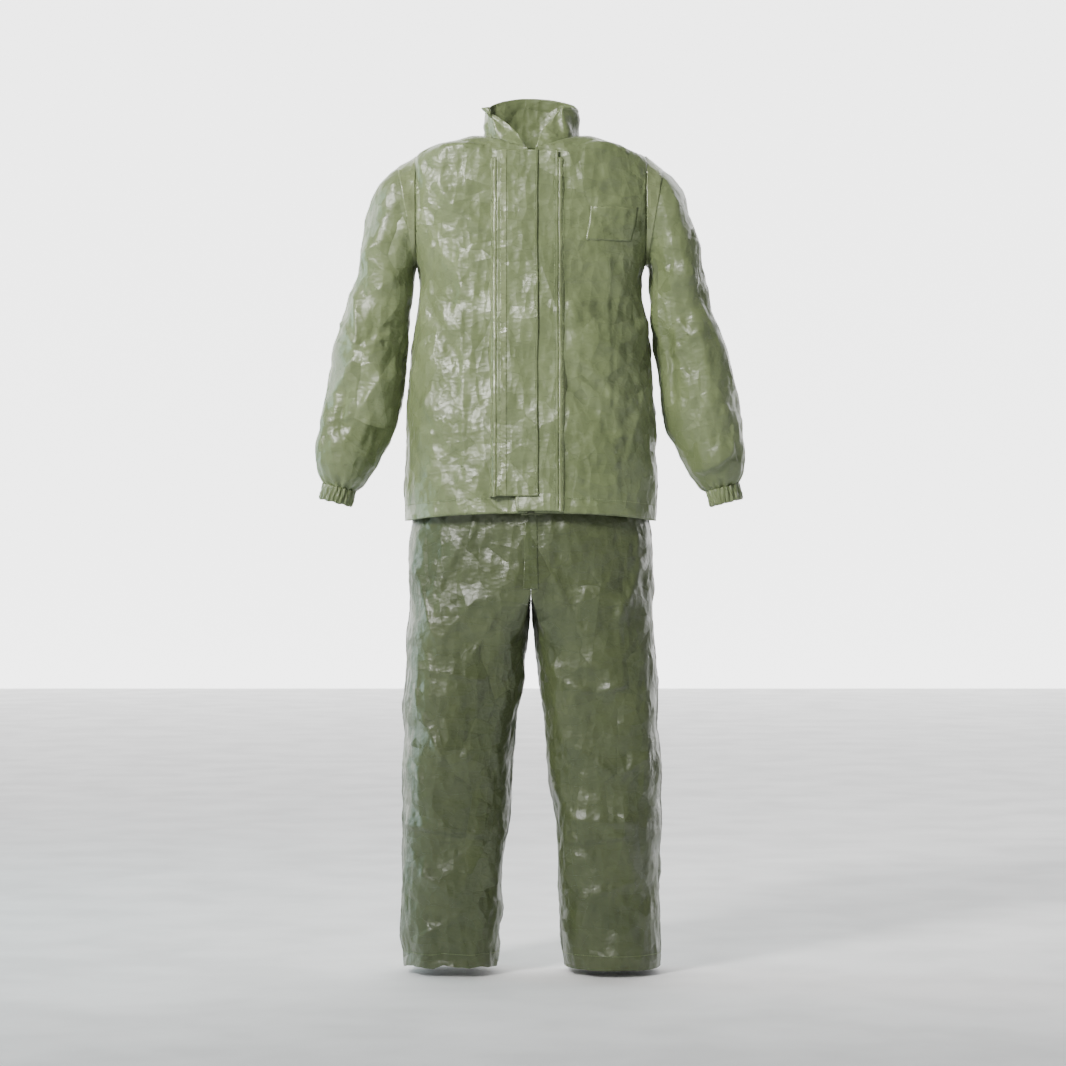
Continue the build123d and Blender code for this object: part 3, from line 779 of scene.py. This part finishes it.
# ------------------------------------------------------------------ front closure
CLOSURE_UP = Vector(JOINTS["storm_flap_inner_open"]["axis"]).normalized()
CLOSURE_OUT = Vector((1, 0, 0)).cross(CLOSURE_UP)
CLOSURE_FOOT = Vector((0, TORSO_FRONT, HEM))
FLAP_SHOULDER = 0.014  # how far the soft flap reaches on up to the neckline
FLAP_THREAD_LIFT = 0.0002
ZIP_PITCH = 0.00125


def closure(x, up, out):
    """Points in the front closure's own plane: across, up the zip, and outwards."""
    x, up, out = np.broadcast_arrays(x, up, out)
    return (
        np.array(CLOSURE_FOOT)
        + x[..., None] * np.array([1, 0, 0])
        + up[..., None] * np.array(CLOSURE_UP)
        + out[..., None] * np.array(CLOSURE_OUT)
    )


def closure_span(node):
    """How far up the closure a CAD node starts and ends."""
    low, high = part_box(node)
    return (low[2] - HEM) / CLOSURE_UP.z, (high[2] - HEM) / CLOSURE_UP.z


def flap(node, hinge_x, free_x, out, fullness):
    """A storm flap of two plies, drawn as one crumpled sheet; its turned-in free edge is shown only by its
    stitches.
    """
    foot, top = closure_span(node)
    across = np.linspace(0, 1, 34)[None, :]
    up = np.linspace(foot + 0.001, top + FLAP_SHOULDER, 190)[:, None]
    form = closure(hinge_x + (free_x - hinge_x) * across, up, out)
    side = 1 if free_x > hinge_x else -1
    rise = crumpled(form, 0.0016, 0.0014, 0.0007) * smooth(across * 4)
    rise += 0.0006 * np.sin(up * 34 + across * 2) * across
    rise = np.clip(rise, -0.0009, 0.0016) * fullness
    grid = form + np.array(CLOSURE_OUT) * rise[..., None]
    wander = 0.0007 * np.sin(up * 21) + 0.0004 * np.sin(up * 63)
    grid[..., 0] += side * (wander * across)
    obj = patch(f"{node}_cloth", grid, JACKET, node, thickness=0.0010, side=side)
    declare_cloth(cut_of(form), [node])
    for column, label in ((3, "root"), (31, "edge")):
        thread = grid[:, column] + np.array(CLOSURE_OUT) * FLAP_THREAD_LIFT
        normal = np.broadcast_to(np.array(CLOSURE_OUT), thread.shape)
        stitches(f"{node}_cloth_{label}_stitches", thread, normal, node)
    return grid, side


def build_closure():
    """Storm flaps with their roots, a film strip on the outer flap, and the zip's fine detail; the hook and
    loop strips stay as the CAD pieces.
    """
    outer, side = flap("storm_flap_outer", -0.060, 0.012, 0.0066, 1.0)
    # Clear of the hinge line, so that it doesn't fold into the root when the flap lies open
    strip = outer[:, 3:9] + np.array(CLOSURE_OUT) * 0.0006
    tape_strip("storm_flap_outer_film", finer(strip, 2, False), None, "storm_flap_outer", side, 7)
    flap("storm_flap_inner", 0.048, -0.026, 0.0039, 0.5)
    for node, start_x, end_x, out in (
        ("storm_flap_outer_root", -0.0745, -0.0604, 0.0068),
        ("storm_flap_inner_root", 0.0625, 0.0484, 0.0042),
    ):
        foot, top = closure_span(node)
        across = np.linspace(0, 1, 9)[None, :]
        up = np.linspace(foot, top, 200)[:, None]
        climb = smooth(across * 1.4)
        depth = -0.0012 - 0.006 * abs(start_x) / 0.075
        grid = closure(start_x + (end_x - start_x) * across, up, depth + (out - depth) * climb)
        side = 1 if end_x > start_x else -1
        tape_strip(f"{node}_film", grid, node, "jacket", side, 8)
        thread = closure(end_x - side * 0.0075, up[:, 0], out + FLAP_THREAD_LIFT)
        stitches(f"{node}_stitches", thread, np.broadcast_to(np.array(CLOSURE_OUT), thread.shape), "jacket")
    for side_name, sign in (("left", 1), ("right", -1)):
        foot, top = closure_span(f"zip_coil_{side_name}")
        teeth(f"zip_teeth_{side_name}", sign, foot, top)


def teeth(name, sign, foot, top):
    """The zip coil's turns, one small ring after another."""
    starts = np.arange(foot, top, ZIP_PITCH)[:, None, None]
    angle = np.linspace(0, 2 * math.pi, 9)[:-1]
    turn = np.array([-0.0003, 0.0003])[None, :, None]
    points = closure(sign * 0.0019 + np.cos(angle) * 0.0012, starts + turn, -0.003 + np.sin(angle) * 0.00135)
    index = np.arange(len(starts))[:, None] * 16
    quads = [index + np.array([k, (k + 1) % 8, 8 + (k + 1) % 8, 8 + k]) for k in range(8)]
    obj = make_mesh(name, points, np.concatenate(quads), NYLON)
    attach(obj, "jacket")


# ------------------------------------------------------------------ sleeves
ARMHOLE_FOOT = ARMHOLE_MIDDLE - ARMHOLE_HALF_HEIGHT
# Inner point, outer point (across and up) and half depth, from the cuff up to the armhole
SLEEVE = np.array(
    [
        (0.3170, -0.1170, 0.3670, -0.1040, 0.026),
        (0.3060, -0.1120, 0.3790, -0.0890, 0.037),
        (0.2930, -0.0930, 0.3850, -0.0690, 0.047),
        (0.2720, -0.0620, 0.3860, -0.0400, 0.054),
        (0.2470, -0.0140, 0.3800, 0.0080, 0.058),
        (0.2310, 0.0500, 0.3630, 0.0700, 0.062),
        (0.2185, 0.1430, 0.3430, 0.1600, 0.062),
        (0.2120, 0.1920, 0.3270, 0.2140, 0.063),
        (0.2080, 0.2320, 0.3080, 0.2780, 0.066),
        (0.2080, 0.2620, 0.2910, 0.3720, 0.070),
        (0.2060, 0.2790, 0.2580, 0.4400, 0.0715),
        (ARMHOLE_X, ARMHOLE_FOOT, ARMHOLE_X, ARMHOLE_FOOT + 2 * ARMHOLE_HALF_HEIGHT, 0.0720),
    ]
)
ELBOW_JOIN = 0.085  # how far above the elbow the two pieces of a sleeve meet
SLEEVE_MIDDLES = (SLEEVE[:, 0:2] + SLEEVE[:, 2:4]) / 2
SLEEVE_WALK = np.concatenate([[0], np.cumsum(np.hypot(*np.diff(SLEEVE_MIDDLES, axis=0).T))])

SLEEVE_FOLDS = {
    1: (
        ((0.258, 0.188), (0.287, 0.150), 0.007, 0.0050, "ridge"),
        ((0.240, 0.120), (0.300, 0.165), 0.008, 0.0045, "ridge"),
        ((0.304, -0.081), (0.331, -0.071), 0.006, 0.0050, "step"),
        ((0.327, -0.074), (0.358, -0.050), 0.006, 0.0055, "step"),
        ((0.357, -0.055), (0.360, -0.006), 0.006, 0.0045, "ridge"),
        ((0.361, -0.010), (0.338, 0.030), 0.006, 0.0040, "ridge"),
        ((0.351, 0.017), (0.372, -0.065), 0.004, -0.0050, "ridge"),
        ((0.270, 0.290), (0.318, 0.060), 0.014, 0.0050, "roll"),
        ((0.232, 0.200), (0.255, 0.020), 0.010, -0.0050, "roll"),
        ((0.250, 0.330), (0.300, 0.240), 0.009, 0.0035, "ridge"),
    ),
    -1: (
        ((-0.311, 0.245), (-0.303, 0.130), 0.008, 0.0060, "ridge"),
        ((-0.345, 0.195), (-0.303, 0.132), 0.007, 0.0055, "ridge"),
        ((-0.303, 0.132), (-0.238, 0.165), 0.007, 0.0050, "ridge"),
        ((-0.303, 0.132), (-0.345, 0.060), 0.007, 0.0050, "ridge"),
        ((-0.330, 0.080), (-0.341, -0.020), 0.009, -0.0070, "roll"),
        ((-0.250, 0.330), (-0.300, 0.300), 0.007, 0.0045, "ridge"),
        ((-0.235, 0.260), (-0.300, 0.300), 0.007, 0.0045, "ridge"),
        ((-0.235, 0.260), (-0.290, 0.225), 0.007, 0.0040, "ridge"),
        ((-0.260, 0.090), (-0.310, 0.020), 0.008, 0.0045, "ridge"),
        ((-0.310, 0.020), (-0.370, 0.000), 0.008, 0.0045, "ridge"),
    ),
}


def sleeve_base(side, walk, angles):
    """A smooth sleeve: rows from cuff to armhole, columns round it."""
    inner_x, inner_z, outer_x, outer_z, depth = through(SLEEVE_WALK, SLEEVE, walk).T[:, :, None]
    across, along = np.cos(angles)[None, :], np.sin(angles)[None, :]
    x = (inner_x + outer_x) / 2 + (outer_x - inner_x) / 2 * across
    z = (inner_z + outer_z) / 2 + (outer_z - inner_z) / 2 * across
    y = SLEEVE_Y + depth * along
    return np.stack([side * x, y, z], -1)


def build_sleeve(side, label):
    """One sleeve in two pieces that share a ring, with its tapes and gathered cuff."""
    walk = np.linspace(0, SLEEVE_WALK[-1], round(SLEEVE_WALK[-1] / 0.012))
    angles = np.linspace(math.pi, 3 * math.pi, 37)[:-1]
    base = sleeve_base(side, walk, angles)
    held = np.full(base.shape[:2], LIMB_HOLD)
    held[[0, 1]] = 1
    held[[-1, -2]] = 1
    shift = buckle(base, True, held, SLEEVE_LONGER, SLEEVE_WIDER)
    fine_walk = finer_steps(walk)
    fine_angles = angles[0] + np.arange(len(angles) * FINER) * 2 * math.pi / (len(angles) * FINER)
    form = sleeve_base(side, fine_walk, fine_angles)
    grid = form + finer(shift, FINER, True)
    normal = normals_of(grid, True) * side
    share = fine_walk / SLEEVE_WALK[-1]
    free = (smooth(share / 0.03) * smooth((1 - share) / 0.06))[:, None]
    rise = crumpled(grid, 0.0068, 0.0028, 0.0008) + creased(grid, SLEEVE_FOLDS[side], SLEEVE_Y + 0.03)
    gathers = np.sin(fine_angles * 13 + 1.5 * np.sin(fine_angles * 3)) * np.exp(-share / 0.035)[:, None]
    grid = grid + normal * (rise * free + 0.0020 * gathers)[..., None]
    grid[..., 0] = side * np.maximum(grid[..., 0] * side, ARMHOLE_X + 0.0005)
    normal = normals_of(grid, True) * side
    split = int(np.argmin(np.abs(grid[..., 2].mean(1) - (ELBOW.z + ELBOW_JOIN))))
    rounded = wrapped(grid)
    rounded_normal = wrapped(normal)
    armhole = Vector((side * ARMHOLE_X, SLEEVE_Y, ARMHOLE_MIDDLE))
    upper_end = Vector((side * 0.262, SLEEVE_Y, 0.262))
    elbow = Vector((side * ELBOW.x, SLEEVE_Y, ELBOW.z))
    along = Vector((side * 0.137, 0, -0.99)) * 0.075
    upper, lower = f"sleeve_upper_{label}", f"sleeve_lower_{label}"
    spans = (
        ("upper", slice(split, None), ("jacket", upper, armhole, upper_end), "jacket_back_cloth"),
        ("lower", slice(0, split + 1), (upper, lower, elbow - along, elbow + along), f"{upper}_cloth"),
    )
    for part, rows, bend, hangs_from in spans:
        node = f"sleeve_{part}_{label}"
        obj = patch(f"{node}_cloth", grid[rows], JACKET, None, closed=True, side=side, rim=False)
        cut = cut_of(form[rows], True, longer=SLEEVE_LONGER, wider=SLEEVE_WIDER)
        declare_cloth(cut, [node])
        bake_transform(obj)
        before = lifted(rounded, rounded_normal, rows, slice(-4, None), TAPE_LIFT)
        after = lifted(rounded, rounded_normal, rows, slice(0, 4), TAPE_LIFT)
        strip = np.concatenate([before[:, :-1], after], 1)
        film = tape_strip(f"underarm_{part}_{label}_film", strip, f"underarm_tape_{part}_{label}", None, side)
        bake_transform(film)
    band = lifted(rounded, rounded_normal, slice(-6, None), slice(None), 0.0009)
    film = tape_strip(f"armhole_{label}_film", band, f"armhole_seam_tape_{label}", None, side, 9)
    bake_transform(film)
    build_cuff(side, label)


def build_cuff(side, label):
    """A gathered casing folded over the elastic."""
    low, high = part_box(f"cuff_casing_{label}")
    centre = (np.array(low) + np.array(high)) / 2
    axis = np.array([side * 0.252, 0, -0.968])
    across = np.array([0.968, 0, side * 0.252])
    turn = np.linspace(0, 2 * math.pi, 241)[:-1]
    # radius, how far along the arm, share of the gathers
    profile = (
        (0.0245, -0.0135, 0.3),
        (0.0285, -0.0148, 0.8),
        (0.0303, -0.0120, 1.0),
        (0.0298, -0.0080, 1.0),
        (0.0306, -0.0040, 1.0),
        (0.0299, 0.0000, 1.0),
        (0.0307, 0.0045, 1.0),
        (0.0298, 0.0085, 1.0),
        (0.0303, 0.0120, 1.0),
        (0.0285, 0.0152, 1.1),
        (0.0245, 0.0146, 0.5),
        (0.0240, 0.0060, 0.3),
        (0.0240, -0.0060, 0.3),
        (0.0245, -0.0135, 0.3),
    )
    rows = []
    form = []
    for radius, along, share in profile:
        ripple = np.sin(turn * 21 + 1.2 * np.sin(turn * 4) + along * 90)
        ripple += 0.5 * np.sin(turn * 34 + 2 * np.sin(turn * 5) - along * 160)
        reach = radius + share * 0.0011 * ripple
        rows.append(
            centre
            + axis * (along + share * 0.0008 * np.sin(turn * 9 + 1)[:, None])
            + across * (reach * np.cos(turn))[:, None]
            + np.array([0, 1, 0]) * (reach * np.sin(turn))[:, None]
        )
        form.append(np.stack([radius * np.cos(turn), radius * np.sin(turn), np.full_like(turn, along)], -1))
    grid = np.stack(rows)
    arm = f"sleeve_lower_{label}"
    obj = patch(f"cuff_{label}_cloth", grid, JACKET, arm, closed=True, thickness=0, side=-side)
    cut = cut_of(np.stack(form), True, wider=GATHERED_WIDER)
    declare_cloth(cut, [f"cuff_casing_{label}"])


# ------------------------------------------------------------------ trousers
# height, half width, front, back, squareness of the hips
HIPS = np.array(
    [
        (ANKLE, 0.219, -0.118, 0.114, 2.6),
        (CROTCH, 0.219, -0.118, 0.114, 2.6),
        (-0.220, 0.216, -0.120, 0.118, 2.5),
        (-0.140, 0.207, -0.118, 0.116, 2.4),
        (-0.060, 0.189, -0.112, 0.112, 2.3),
        (WAISTBAND_FOOT, WAIST_HALF_WIDTH, -WAIST_HALF_DEPTH, WAIST_HALF_DEPTH, 2.2),
    ]
)
# height, middle, half width, front, back, squareness of the left leg
LEG = np.array(
    [
        (ANKLE, 0.142, 0.0850, -0.086, 0.084, 2.4),
        (-0.887, 0.142, 0.0880, -0.088, 0.086, 2.4),
        (-0.716, 0.136, 0.0940, -0.092, 0.092, 2.4),
        (-0.600, 0.130, 0.0990, -0.096, 0.096, 2.4),
        (KNEE, 0.122, 0.1035, -0.102, 0.100, 2.4),
        (-0.357, 0.113, 0.1080, -0.110, 0.108, 2.6),
        (CROTCH, 0.111, 0.1075, -0.116, 0.112, 2.8),
        (WAISTBAND_FOOT, 0.111, 0.1075, -0.116, 0.112, 2.8),
    ]
)
OUTER_COLUMNS = 49
WALL_COLUMNS = 17
LEG_GAP = 0.0022  # each leg's least distance from the middle
KNEE_JOIN = 0.10  # how far above the knee the two pieces of a leg meet

LEG_FOLDS = {
    -1: (
        ((-0.214, -0.425), (-0.071, -0.449), 0.007, 0.0055, "ridge"),
        ((-0.196, -0.497), (-0.148, -0.598), 0.008, 0.0060, "ridge"),
        ((-0.148, -0.598), (-0.080, -0.560), 0.008, 0.0040, "ridge"),
        ((-0.228, -0.705), (-0.075, -0.722), 0.008, 0.0060, "step"),
        ((-0.205, -0.232), (-0.165, -0.385), 0.010, 0.0060, "ridge"),
        ((-0.165, -0.385), (-0.090, -0.300), 0.009, 0.0045, "ridge"),
        ((-0.120, -0.200), (-0.165, -0.300), 0.008, 0.0040, "ridge"),
        ((-0.060, -0.330), (-0.110, -0.420), 0.009, 0.0040, "ridge"),
        ((-0.200, -0.780), (-0.110, -0.850), 0.008, 0.0050, "ridge"),
        ((-0.110, -0.850), (-0.205, -0.905), 0.008, 0.0050, "ridge"),
    ),
    1: (
        ((0.053, -0.4527), (0.110, -0.4705), 0.007, 0.0055, "ridge"),
        ((0.108, -0.4705), (0.172, -0.4527), 0.007, 0.0055, "ridge"),
        ((0.060, -0.690), (0.190, -0.700), 0.009, 0.0060, "roll"),
        ((0.060, -0.735), (0.180, -0.722), 0.007, 0.0045, "step"),
        ((0.030, -0.250), (0.090, -0.370), 0.008, 0.0040, "ridge"),
        ((0.200, -0.230), (0.150, -0.350), 0.010, 0.0050, "roll"),
        ((0.197, -0.400), (0.205, -0.680), 0.008, 0.0040, "ridge"),
        ((0.075, -0.560), (0.150, -0.620), 0.008, 0.0045, "ridge"),
        ((0.150, -0.620), (0.205, -0.580), 0.008, 0.0040, "ridge"),
        ((0.090, -0.830), (0.190, -0.800), 0.008, 0.0040, "ridge"),
    ),
}


def leg_base(side, heights, columns):
    """Half of the hips flowing into one leg: rows from ankle to waist.

    The columns run from the front rise round the outside to the back rise, then across the inside.
    """
    outer = (OUTER_COLUMNS - 1) * columns + 1
    wall = (WALL_COLUMNS - 1) * columns + 1
    hip_angles = even_angles(outer, -math.pi / 2, math.pi / 2, 0.2, 0.115, 2.5)
    open_angle = math.radians(140)
    leg_angles = even_angles(outer, -open_angle, open_angle, 0.1, 0.1, 2.4)
    wall_angles = np.linspace(open_angle, 2 * math.pi - open_angle, wall)[1:-1]
    hip = through(HIPS[1:, 0], HIPS[1:], np.maximum(heights, CROTCH)).T[:, :, None]
    leg = through(LEG[:, 0], LEG, heights).T[:, :, None]
    hip_x, hip_y = section(hip_angles[None, :], *hip[1:])
    inward = np.linspace(1, 0, wall)[1:-1][None, :]
    hip_x = np.concatenate([np.maximum(hip_x, 0), np.zeros((len(heights), wall - 2))], 1)
    wall_y = hip[2] + (hip[3] - hip[2]) * inward
    hip_y = np.concatenate([hip_y, wall_y], 1)
    leg_x, leg_y = section(np.concatenate([leg_angles, wall_angles])[None, :], *leg[2:])
    share = smooth((CROTCH + 0.010 - heights) / 0.11)[:, None]
    x = hip_x * (1 - share) + (leg[1] + leg_x) * share
    y = hip_y * (1 - share) + leg_y * share
    z = np.broadcast_to(heights[:, None], x.shape)
    return np.stack([side * x, y, z], -1)


def build_leg(side, label):
    """One side of the trousers, in two pieces that share a ring, with its tapes and hem."""
    heights = np.linspace(ANKLE, WAISTBAND_FOOT, 72)
    base = leg_base(side, heights, 1)
    above = heights > CROTCH
    outer = OUTER_COLUMNS
    left_out = np.zeros(base.shape[:2], bool)
    left_out[above, outer - 1 :] = True
    left_out[above, 0] = True
    held = np.full(base.shape[:2], LIMB_HOLD)
    held[left_out] = 1
    held[-1] = 1
    held[0] = 1
    shift = buckle(base, True, held, LEG_LONGER, LEG_WIDER, left_out)
    fine_heights = finer_steps(heights)
    fine = leg_base(side, fine_heights, FINER)
    fine_outer = (outer - 1) * FINER + 1
    shift = finer(shift, FINER, True)
    above = fine_heights > CROTCH
    free = np.ones(fine.shape[:2])
    column = np.arange(fine.shape[1])
    from_rise = np.minimum(column, np.abs(fine_outer - 1 - column)) / 9
    free[above] *= smooth(np.where(column < fine_outer, from_rise, 0))[None, :]
    near_crotch = smooth((CROTCH - fine_heights) / 0.05)
    near_crotch_below = near_crotch[~above, None]
    outside = np.maximum(near_crotch_below, smooth(from_rise))
    free[~above] *= np.where(column < fine_outer, outside, near_crotch_below)
    free *= smooth((WAISTBAND_FOOT - fine_heights) / 0.02)[:, None]
    grid = fine + shift * free[..., None]
    normal = normals_of(grid, True) * side
    rise = crumpled(grid, 0.0058, 0.0022, 0.0007) + creased(grid, LEG_FOLDS[side], -0.01)
    hem = np.where(side < 0, 1.0, 0.35) * smooth((ANKLE + 0.05 - fine_heights) / 0.05)[:, None]
    rise = rise + hem * 0.0035 * crinkle(grid * np.array([1, 1, 0.5]), 0.028, 6)
    grid = grid + normal * (rise * free)[..., None]
    crosses = (grid[..., 0] * side < LEG_GAP) & ~above[:, None]
    grid[..., 0] = np.where(crosses, side * LEG_GAP * near_crotch[:, None], grid[..., 0])
    lift = hem * 0.006 * (1 + facets(grid[0], 0.03, 4))[None, :] * (side < 0)
    grid[..., 2] += lift
    normal = normals_of(grid, True) * side
    fine_left_out = np.zeros(grid.shape[:2], bool)
    fine_left_out[above, fine_outer - 1 :] = True
    fine_left_out[above, 0] = True
    split = int(np.argmin(np.abs(fine_heights - (KNEE + KNEE_JOIN))))
    hip_start = Vector((0, 0, CROTCH + 0.075))
    hip_end = Vector((0, 0, CROTCH - 0.085))
    knee_start = Vector((0, 0, KNEE + 0.085))
    knee_end = Vector((0, 0, KNEE - 0.085))
    middle = (fine_outer - 1) // 2
    inside = fine_outer - 1 + (grid.shape[1] - fine_outer + 1) // 2
    thigh, shin, hips = f"thigh_{label}", f"shin_{label}", f"hip_panel_{label}"
    spans = (
        ("thigh", slice(split, None), ("trousers", thigh, hip_start, hip_end), [hips, thigh], []),
        ("shin", slice(split + 1), (thigh, shin, knee_start, knee_end), [shin], [f"trouser_{thigh}_cloth"]),
    )
    for part, rows, bend, nodes, hangs_from in spans:
        name = f"trouser_{part}_{label}_cloth"
        gone = fine_left_out[rows]
        obj = patch(name, grid[rows], TROUSERS, None, closed=True, left_out=gone, side=side, rim=False)
        cut = cut_of(fine[rows], True, gone, LEG_LONGER, LEG_WIDER)
        declare_cloth(cut, nodes)
        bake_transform(obj)
        for seam, column in (("outseam", middle), ("inseam", inside)):
            seam_rows = rows
            if seam == "inseam":
                last = int(np.nonzero(~above)[0][-1]) - 2
                seam_rows = slice(rows.start, last if rows.stop is None else rows.stop)
            strip = lifted(grid, normal, seam_rows, slice(column - 2, column + 4), TAPE_LIFT)
            node = f"{seam}_tape_{part}_{label}"
            film = tape_strip(f"{seam}_{part}_{label}_film", strip, node, None, side, 5, TROUSER_TAPE)
            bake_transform(film)
    rounded = wrapped(grid)
    rounded_normal = wrapped(normal)
    facing = lifted(rounded, rounded_normal, slice(0, HEM_ROWS), slice(None), -HEM_BEHIND, 1)
    hem_cloth = patch(f"ankle_hem_{label}_cloth", facing, TROUSERS, shin, side=side)
    hem_cut = cut_of(fine[:HEM_ROWS], True)
    declare_cloth(hem_cut, [f"ankle_hem_{label}"])
    row = HEM_ROWS - 1
    thread = rounded[row] + rounded_normal[row] * THREAD_LIFT
    stitches(f"ankle_{label}_stitches", thread, rounded_normal[row], shin)
    return grid + normal * TAPE_LIFT, above, fine_outer


def build_trousers():
    """Both legs, the rise tapes over their shared seam, and the gathered waistband."""
    left, above, outer = build_leg(1, "left")
    right = build_leg(-1, "right")[0]
    rows = slice(int(np.nonzero(above)[0][0]) + 1, -3)
    front = slice(0, 4)
    back = slice(outer - 4, outer)
    for node, strip in (
        ("rise_tape_front", np.concatenate([right[rows, front][:, :0:-1], left[rows, front]], 1)),
        ("rise_tape_back", np.concatenate([left[rows, back], right[rows, back][:, -2::-1]], 1)),
    ):
        tape_strip(f"{node}_film", finer(strip, 2, False), node, "trousers", 1, 5, TROUSER_TAPE)
    build_waistband()


def build_waistband():
    """The gathered band round the waist, closed over its elastic."""
    low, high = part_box("waistband_casing")
    turn = np.linspace(0, 2 * math.pi, 601)[:-1]
    gathers = np.sin(turn * 61 + 2 * np.sin(turn * 5)) + 0.4 * np.sin(turn * 97)
    mean_radius = 0.14
    # share of the height, how far out, depth of the gathers
    profile = (
        (0.00, 0.0000, 0.0016),
        (0.25, 0.0012, 0.0016),
        (0.50, -0.0004, 0.0016),
        (0.75, 0.0012, 0.0016),
        (1.00, -0.0010, 0.0016),
        (1.00, -0.0068, 0.0004),
        (0.50, -0.0072, 0.0004),
        (0.00, -0.0068, 0.0004),
        (0.00, 0.0000, 0.0016),
    )
    rows = []
    form = []
    for share, out, depth in profile:
        half_width = WAIST_HALF_WIDTH - 0.008 * share + out
        x, y = section(turn, half_width, low[1] - out, high[1] + out, 2.2)
        z = np.full_like(x, low[2] + (high[2] - low[2]) * share)
        ripple = 1 + depth / mean_radius * gathers
        rows.append(np.stack([x * ripple, y * ripple, z], -1))
        form.append(np.stack([x, y, z], -1))
    band = patch("waistband_cloth", np.stack(rows), TROUSERS, "trousers", closed=True, thickness=0)
    cut = cut_of(np.stack(form), True, wider=GATHERED_WIDER)
    declare_cloth(cut, ["waistband_casing"])


# ------------------------------------------------------------------ CAD pieces that stay
def paint_kept_nodes():
    """Finishes for the CAD pieces that are shown as they are."""
    finishes = (
        (WEBBING, ("zip_tape_left", "zip_tape_right")),
        (NYLON, ("zip_coil_left", "zip_coil_right", "zip_retainer_box")),
        (ENAMEL, ("zip_top_stops", "zip_slider", "zip_pull_tab")),
        (HOOKS, ("hook_strip",)),
        (LOOPS, ("loop_strip",)),
        (RUBBER, ("cuff_elastic_left", "cuff_elastic_right", "waist_elastic")),
    )
    for material, nodes in finishes:
        for node in nodes:
            for place in frame["nodes"][node].material_slots:
                place.link = "OBJECT"
                place.material = material


# ------------------------------------------------------------------ studio
def area_light(name, place, aim, width, height, power, colour, spread=180):
    """A soft rectangular light."""
    data = bpy.data.lights.new(name, "AREA")
    data.shape = "RECTANGLE"
    data.size = width
    data.size_y = height
    data.energy = power
    data.color = colour
    data.spread = math.radians(spread)
    light = bpy.data.objects.new(name, data)
    light.location = place
    light.rotation_euler = (Vector(aim) - Vector(place)).to_track_quat("-Z", "Y").to_euler()
    bpy.context.scene.collection.objects.link(light)


def stage_plane(name, corners, material):
    """A flat surface that belongs to the studio."""
    mesh = bpy.data.meshes.new(name)
    mesh.from_pydata(corners, [], [(0, 1, 2, 3)])
    mesh.materials.append(material)
    plane = bpy.data.objects.new(name, mesh)
    bpy.context.scene.collection.objects.link(plane)


def build_studio():
    """A pale floor and backdrop, soft keys from the front left, a cool rim and a weak fill."""
    square = ((-1, -1), (1, -1), (1, 1), (-1, 1))
    paper = plain("floor_paper", (0.86, 0.86, 0.86), 0.9, 40, 0.0001)
    stage_plane("floor", [(x * 14, y * 14, ANKLE - 0.012) for x, y in square], paper)
    glow = Paint("backdrop_paper")
    white = (1, 1, 1, 1)
    shine = {"Base Color": (0.9, 0.9, 0.9, 1), "Emission Color": white, "Emission Strength": 3.4}
    glow.fill(glow.shader, shine)
    stage_plane("backdrop", [(x * 16, 10, 2 + z * 12) for x, z in square], glow.material)
    area_light("key", (-2.1, -2.7, 2.2), (-0.09, 0, 0.28), 0.8, 1.2, 16.5, (1.0, 0.99, 0.96), 40)
    area_light("low_key", (-1.6, -3.4, 1.0), (0, 0, -0.45), 1.0, 1.8, 17, (1.0, 0.99, 0.97))
    area_light("rim", (-2.8, 0.8, 0.2), (-0.1, 0, -0.2), 0.6, 2.4, 40, (0.66, 0.95, 1.0))
    area_light("fill", (3.0, -1.8, 0.3), (0.1, 0, -0.1), 1.0, 2.2, 2.5, (1.0, 0.99, 0.96))
    world = bpy.data.worlds.new("studio")
    world.use_nodes = True
    world.node_tree.nodes["Background"].inputs["Color"].default_value = white
    world.node_tree.nodes["Background"].inputs["Strength"].default_value = 0.22
    bpy.context.scene.world = world


def build_camera():
    """A long lens square to the front."""
    distance = 5.5
    view_width = 1.897
    data = bpy.data.cameras.new("camera")
    data.sensor_width = 36
    data.lens = data.sensor_width * distance / view_width
    camera = bpy.data.objects.new("camera", data)
    middle = (CAD_BOX[0][2] + CAD_BOX[1][2]) / 2
    camera.location = (0.0036, -distance, middle - 0.007)
    camera.rotation_euler = (math.pi / 2, 0, 0)
    bpy.context.scene.collection.objects.link(camera)
    bpy.context.scene.camera = camera


build_jacket_body()
build_collar()
build_closure()
build_sleeve(1, "left")
build_sleeve(-1, "right")
build_trousers()
paint_kept_nodes()
build_studio()
build_camera()
